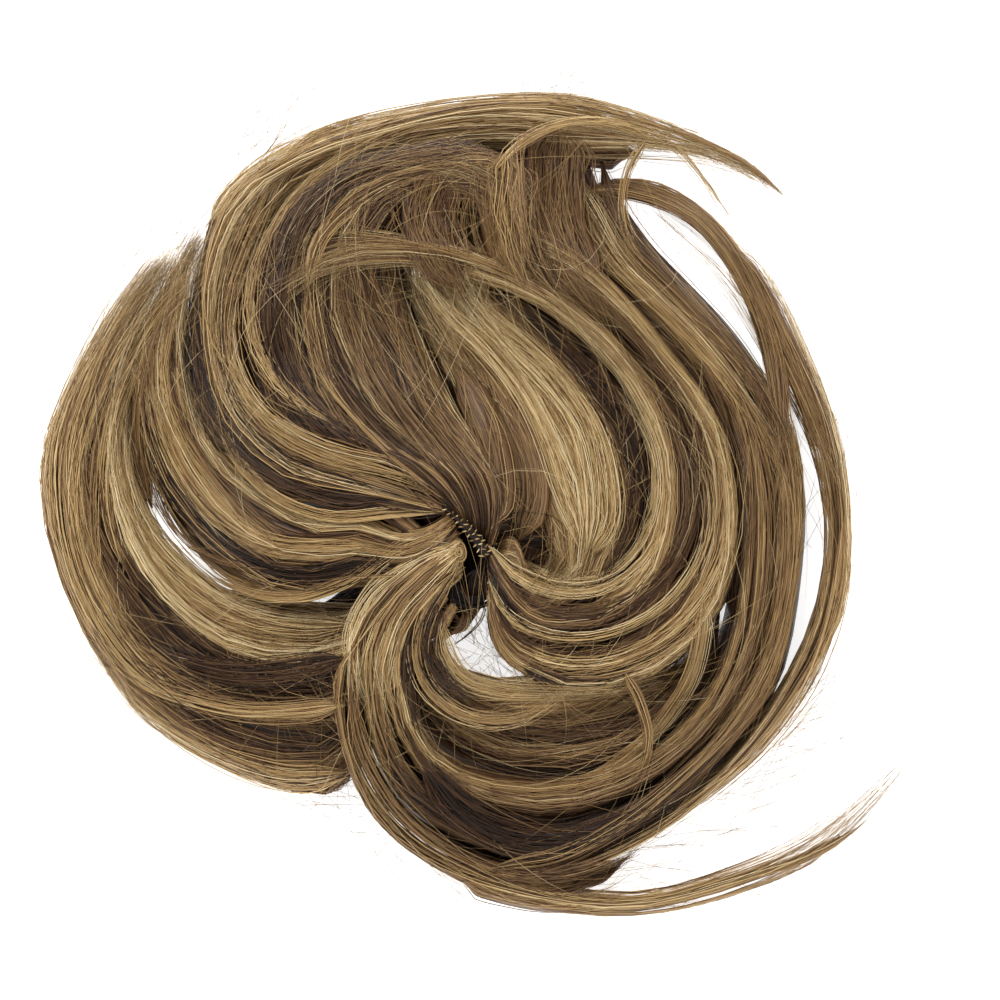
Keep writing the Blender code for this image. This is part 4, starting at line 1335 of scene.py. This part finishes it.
def place_locks(name, locks, bodies=()):
    """Loose locks as one piece, with another for their bodies."""
    paths, radii, shade = (np.concatenate([lock[part] for lock in locks]) for part in range(3))
    strands_object(name, paths, radii, shade)
    bodies = [*bodies, *(lock[3] for lock in locks if lock[3] is not None)]
    if bodies:
        place_body(name + "_body", bodies)
    return paths


chance = np.random.default_rng(SEED)
drape = Drape()
TOP_SAMPLES = np.meshgrid(
    np.linspace(0, TOP_END, TOP_CELLS[0]), np.linspace(0, 1, TOP_CELLS[1]), indexing="ij",
)
under_bodies = []
coats = []
for name, *stream in WEFTS:
    grid, length = stream_grid(*stream)
    coats.append(dress(name, grid, length, chance))

# The band's round counts as covered, so that roots pass over it
sweep = np.linspace(-1, 1, RING_CELLS)
ring_x, ring_y = np.meshgrid(sweep, sweep, indexing="ij")
inside = ring_x ** 2 + ring_y ** 2 < 1
drape.lay(
    band_centre[0] + ring_x[inside] * (hole_radius + head_inside),
    band_centre[1] + ring_y[inside] * (hole_radius + straight_half + head_inside),
    np.full(inside.sum(), band_top + ROOT_RISE),
)
drape.settle()

made = {piece: [loose_lock(*lock, chance) for lock in locks] for piece, locks in LOOSE_LOCKS.items()}
for piece, locks in made.items():
    coats.append(place_locks(piece, locks))
under = [
    loose_lock(width, lightness, True, path, chance, UNDER_STRANDS_PER_METRE)
    for width, lightness, path in UNDER_LOCKS
]
place_locks("under_hair", under, under_bodies)


def stray(start, heading, bend, length, rise, steps):
    """The path of one fine hair, shortened where it would stand too far off the part."""
    low, high = (np.array(corner[:2]) for corner in cad_box)
    low, high = low - FLYAWAY_REACH, high + FLYAWAY_REACH
    turn = heading + bend * steps
    way = np.cumsum(np.stack([np.cos(turn), np.sin(turn)], -1), axis=0) / len(steps)
    start = np.clip(start[:2], low, high)
    plan = start + way * length
    while length > FLYAWAY_SHORTEST and ((plan < low) | (plan > high)).any():
        length *= FLYAWAY_SHORTENING
        plan = start + way * length
    arch = rise * np.sin(math.pi * steps * FLYAWAY_ARCH)
    z = drape.along(plan[:, 0], plan[:, 1]) + FLYAWAY_RADIUS + arch
    return np.concatenate([plan, z[:, None]], -1)


def stray_hairs(chance):
    """Single hairs that leave the wefts and lie across them or stand off the rims."""
    steps = np.linspace(0, 1, FLYAWAY_STATIONS)
    paths, shades = [], []
    sizes = np.array([len(coat) for coat in coats], float)
    for _ in range(FLYAWAY_COUNT):
        coat = coats[chance.choice(len(coats), p=sizes / sizes.sum())]
        strand = coat[chance.integers(len(coat))]
        station = chance.integers(FLYAWAY_MARGINS[0], strand.shape[0] - FLYAWAY_MARGINS[1])
        before = strand[station] - strand[station - 1]
        after = strand[station + 1] - strand[station]
        heading = math.atan2(after[1], after[0])
        curve = heading - math.atan2(before[1], before[0])
        curve = (curve + math.pi) % (2 * math.pi) - math.pi
        curve /= np.hypot(after[0], after[1]) + LEAST_STEP
        length = chance.uniform(*FLYAWAY_LENGTHS)
        bend = curve * length * chance.uniform(*FLYAWAY_BENDS)
        bend += chance.normal(0, FLYAWAY_BEND_SCATTER)
        heading += chance.normal(0, FLYAWAY_TURN_SCATTER)
        rise = chance.uniform(*FLYAWAY_RISES)
        paths.append(stray(strand[station], heading, bend, length, rise, steps))
        shades.append(chance.uniform(*FLYAWAY_SHADES))
    for x, y, spread, heading, scatter, count in STRAY_PATCHES:
        for _ in range(count):
            shift = chance.normal(0, spread / HUNDRED / 2, 2)
            start = band_centre[:2] + (np.array([x, y]) / HUNDRED + shift) * SPREAD
            turn = math.radians(heading + chance.normal(0, scatter))
            length = chance.uniform(*PATCH_LENGTHS)
            bend = chance.normal(0, PATCH_BEND_SCATTER)
            paths.append(stray(start, turn, bend, length, chance.uniform(*PATCH_RISES), steps))
            shades.append(chance.uniform(*PATCH_SHADES))
    radii = FLYAWAY_RADIUS * np.clip((1 - steps) / FLYAWAY_TAPER, FLYAWAY_TAPER, 1)
    strands_object("stray_hairs", np.array(paths), radii, np.array(shades)[:, None])


def track_end():
    """The flat end of the weft track that crosses the band."""
    knots = np.array(TRACK_END) * SPREAD + band_centre[:2]
    places = run(knots)
    spine = smooth_through(places, np.linspace(0, places[-1], TRACK_END_STATIONS), knots)
    normal = sideways(spine)
    bottom = band_top + TRACK_END_RISE
    loop = np.stack([
        np.column_stack([
            spine + normal * side * TRACK_END_WIDTH,
            np.full(len(spine), bottom + level * TRACK_END_DEPTH),
        ])
        for side, level in TRACK_END_SECTION
    ], 1)
    around = loop.shape[1]
    caps = []
    for row, turn_over in ((0, False), (len(spine) - 1, True)):
        for corners in ((0, 1, 4, 5), (1, 2, 3, 4)):
            ring = [row * around + spot for spot in corners]
            caps.append(ring[::-1] if turn_over else ring)
    quads = np.concatenate([tube_quads(len(spine), around)[:, [0, 3, 2, 1]], np.array(caps)])
    strip = solid_mesh("track_end", loop.reshape(-1, 3), quads, np.zeros((0, 3), int))
    finished(strip, THREAD)
    return spine, normal, bottom + TRACK_END_DEPTH


def stitches(spine, normal, level, chance):
    """Tan stitches over the loose track's edges and round both rows of track."""
    steps = np.linspace(-0.5, 0.5, len(STITCH_BULGE))
    paths = []
    way = run(spine)
    for side, offset in STITCH_ROWS:
        for at in np.arange(STITCH_PITCH / 2 * (1 + offset), way[-1], STITCH_PITCH):
            x, y = (np.interp(at, way, spine[:, axis]) for axis in (0, 1))
            nx, ny = (np.interp(at, way, normal[:, axis]) for axis in (0, 1))
            lean = chance.uniform(*STITCH_LEANS)
            dx, dy = nx + lean * ny, ny - lean * nx
            x, y = x + nx * side * TRACK_END_WIDTH, y + ny * side * TRACK_END_WIDTH
            z = level + STITCH_RISE + STITCH_ARCH * (1 - 4 * steps ** 2)
            way_x, way_y = dx * steps * STITCH_LENGTH, dy * steps * STITCH_LENGTH
            paths.append(np.stack([x + way_x, y + way_y, z], 1))
    oval = 2 * (math.pi * (hole_radius + track_outside) + 2 * straight_half)
    round_count = round(oval / STITCH_PITCH)
    for row in ("upper", "lower"):
        for k in range(round_count):
            x, y = oval_point(k / round_count, track_outside + STITCH_RADIUS * ROW_STITCH_STAND)
            z = row_middle(row) + steps * STITCH_LENGTH * ROW_STITCH_STRETCH
            z = z + chance.normal(0, ROW_STITCH_SCATTER)
            paths.append(np.stack([np.full_like(z, x), y + steps * ROW_STITCH_SLANT, z], 1))
    paths = np.array(paths)
    radii = STITCH_RADIUS * np.array(STITCH_BULGE) * chance.uniform(*STITCH_SIZES, (len(paths), 1))
    shades = chance.uniform(*STITCH_SHADES, (len(paths), 1))
    strands_object("track_stitches", paths, radii, shades)


def end_roll(chance):
    """The rolled-up end of the weft: nested drops of fibre, and a fan that leaves it."""
    lower, upper = (np.array(corner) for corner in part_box("weft_end_roll"))
    centre = (lower + upper) / 2 + np.array([*ROLL_SHIFT, 0])
    steps = np.linspace(0, 1, ROLL_STATIONS)
    turn = 2 * ROLL_TURNS * math.pi * steps
    paths, shades = [], []
    for scale in ROLL_DROPS:
        for _ in range(ROLL_FIBRES):
            half_width = ROLL_HALF_WIDTH * scale + chance.normal(0, ROLL_SCATTER)
            x = half_width * np.sin(turn) * (1 - ROLL_POINT * np.cos(turn))
            x, y = turned(x, half_width * ROLL_STRETCH * np.cos(turn), ROLL_LEAN)
            level = chance.uniform(lower[2] + STRAND_RADIUS, upper[2] - STRAND_RADIUS)
            shift = chance.normal(0, ROLL_SHIFTS, 2)
            z = np.full(ROLL_STATIONS, level)
            paths.append(np.stack([centre[0] + shift[0] + x, centre[1] + shift[1] + y, z], 1))
            shades.append(chance.uniform(*ROLL_SHADES))
    top = centre[:2] + np.array([ROLL_FAN_START, ROLL_HALF_WIDTH * ROLL_STRETCH])
    for _ in range(ROLL_FAN):
        angle = math.radians(chance.uniform(*ROLL_FAN_ANGLES))
        reach = chance.uniform(*ROLL_FAN_REACHES)
        start = top + chance.normal(0, ROLL_FAN_SCATTER, 2)
        x = start[0] + np.cos(angle) * reach * steps
        y = start[1] + np.sin(angle) * reach * steps ** ROLL_FAN_CURVE
        dip, drop, scatter = ROLL_FAN_DROPS
        z = upper[2] - dip - drop * steps ** 2 + chance.normal(0, scatter)
        paths.append(np.stack([x, y, z], 1))
        shades.append(chance.uniform(*ROLL_FAN_SHADES))
    radii = STRAND_RADIUS * chance.uniform(*ROLL_SIZES, (len(paths), 1))
    roll = strands_object("end_roll_loops", np.array(paths), radii, np.array(shades)[:, None])
    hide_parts("weft_end_roll")


def thread_ends():
    """The two thin black ends of the sewing thread, hanging from the band."""
    steps = np.linspace(0, 1, THREAD_STATIONS)
    paths = []
    for bow, level in THREAD_ENDS:
        x = band_centre[0] + THREAD_START[0] + THREAD_REACH[0] * steps ** THREAD_CURVE
        x = x + bow * np.sin(math.pi * steps)
        y = band_centre[1] + THREAD_START[1] + THREAD_REACH[1] * steps
        z = band_top * (1 - steps) + (level * band_top) * steps
        paths.append(np.stack([x, y, z], 1))
    strands_object("thread_ends", np.array(paths), THREAD_RADIUS, 0.0, THREAD)


stray_hairs(chance)
stitches(*track_end(), chance)
end_roll(chance)
thread_ends()
for name, finish in (("elastic_band", ELASTIC), ("weft_track_upper", THREAD), ("weft_track_lower", THREAD)):
    for slot in bpy.data.objects[name].material_slots:
        slot.material = finish

floor_mesh = bpy.data.meshes.new("floor")
floor_corners = [(x * FLOOR_HALF, y * FLOOR_HALF, 0) for x, y in ((-1, -1), (1, -1), (1, 1), (-1, 1))]
floor_mesh.from_pydata(floor_corners, [], [(0, 1, 2, 3)])
floor = bpy.data.objects.new("floor", floor_mesh)
bpy.context.scene.collection.objects.link(floor)
floor_mesh.materials.append(plain_material("floor_white", {
    "Base Color": (FLOOR_GREY, FLOOR_GREY, FLOOR_GREY, 1),
    "Roughness": 0.9,
    "Emission Color": (1, 1, 1, 1),
    "Emission Strength": FLOOR_GLOW,
})[0])

world = bpy.data.worlds.new("studio")
bpy.context.scene.world = world
world.use_nodes = True
world.node_tree.nodes["Background"].inputs["Color"].default_value = (1, 1, 1, 1)
world.node_tree.nodes["Background"].inputs["Strength"].default_value = WORLD_STRENGTH
for name, spot, size, power in SOFTBOXES:
    light = bpy.data.lights.new(name, "AREA")
    light.shape = "SQUARE"
    light.size = size
    light.energy = power
    lamp = bpy.data.objects.new(name, light)
    bpy.context.scene.collection.objects.link(lamp)
    lamp.location = spot
    lamp.rotation_euler = (-Vector(spot)).to_track_quat("-Z", "Y").to_euler()

aim = band_centre + np.array([*PHOTO_CENTRE, 0]) * SPREAD
camera_data = bpy.data.cameras.new("camera")
camera_data.sensor_width = SENSOR
camera_data.lens = SENSOR * CAMERA_HEIGHT / PHOTO_WIDTH
camera = bpy.data.objects.new("camera", camera_data)
bpy.context.scene.collection.objects.link(camera)
camera.location = (aim[0], aim[1], CAMERA_LEVEL + CAMERA_HEIGHT)
bpy.context.scene.camera = camera
bpy.context.scene.view_settings.view_transform = "Standard"
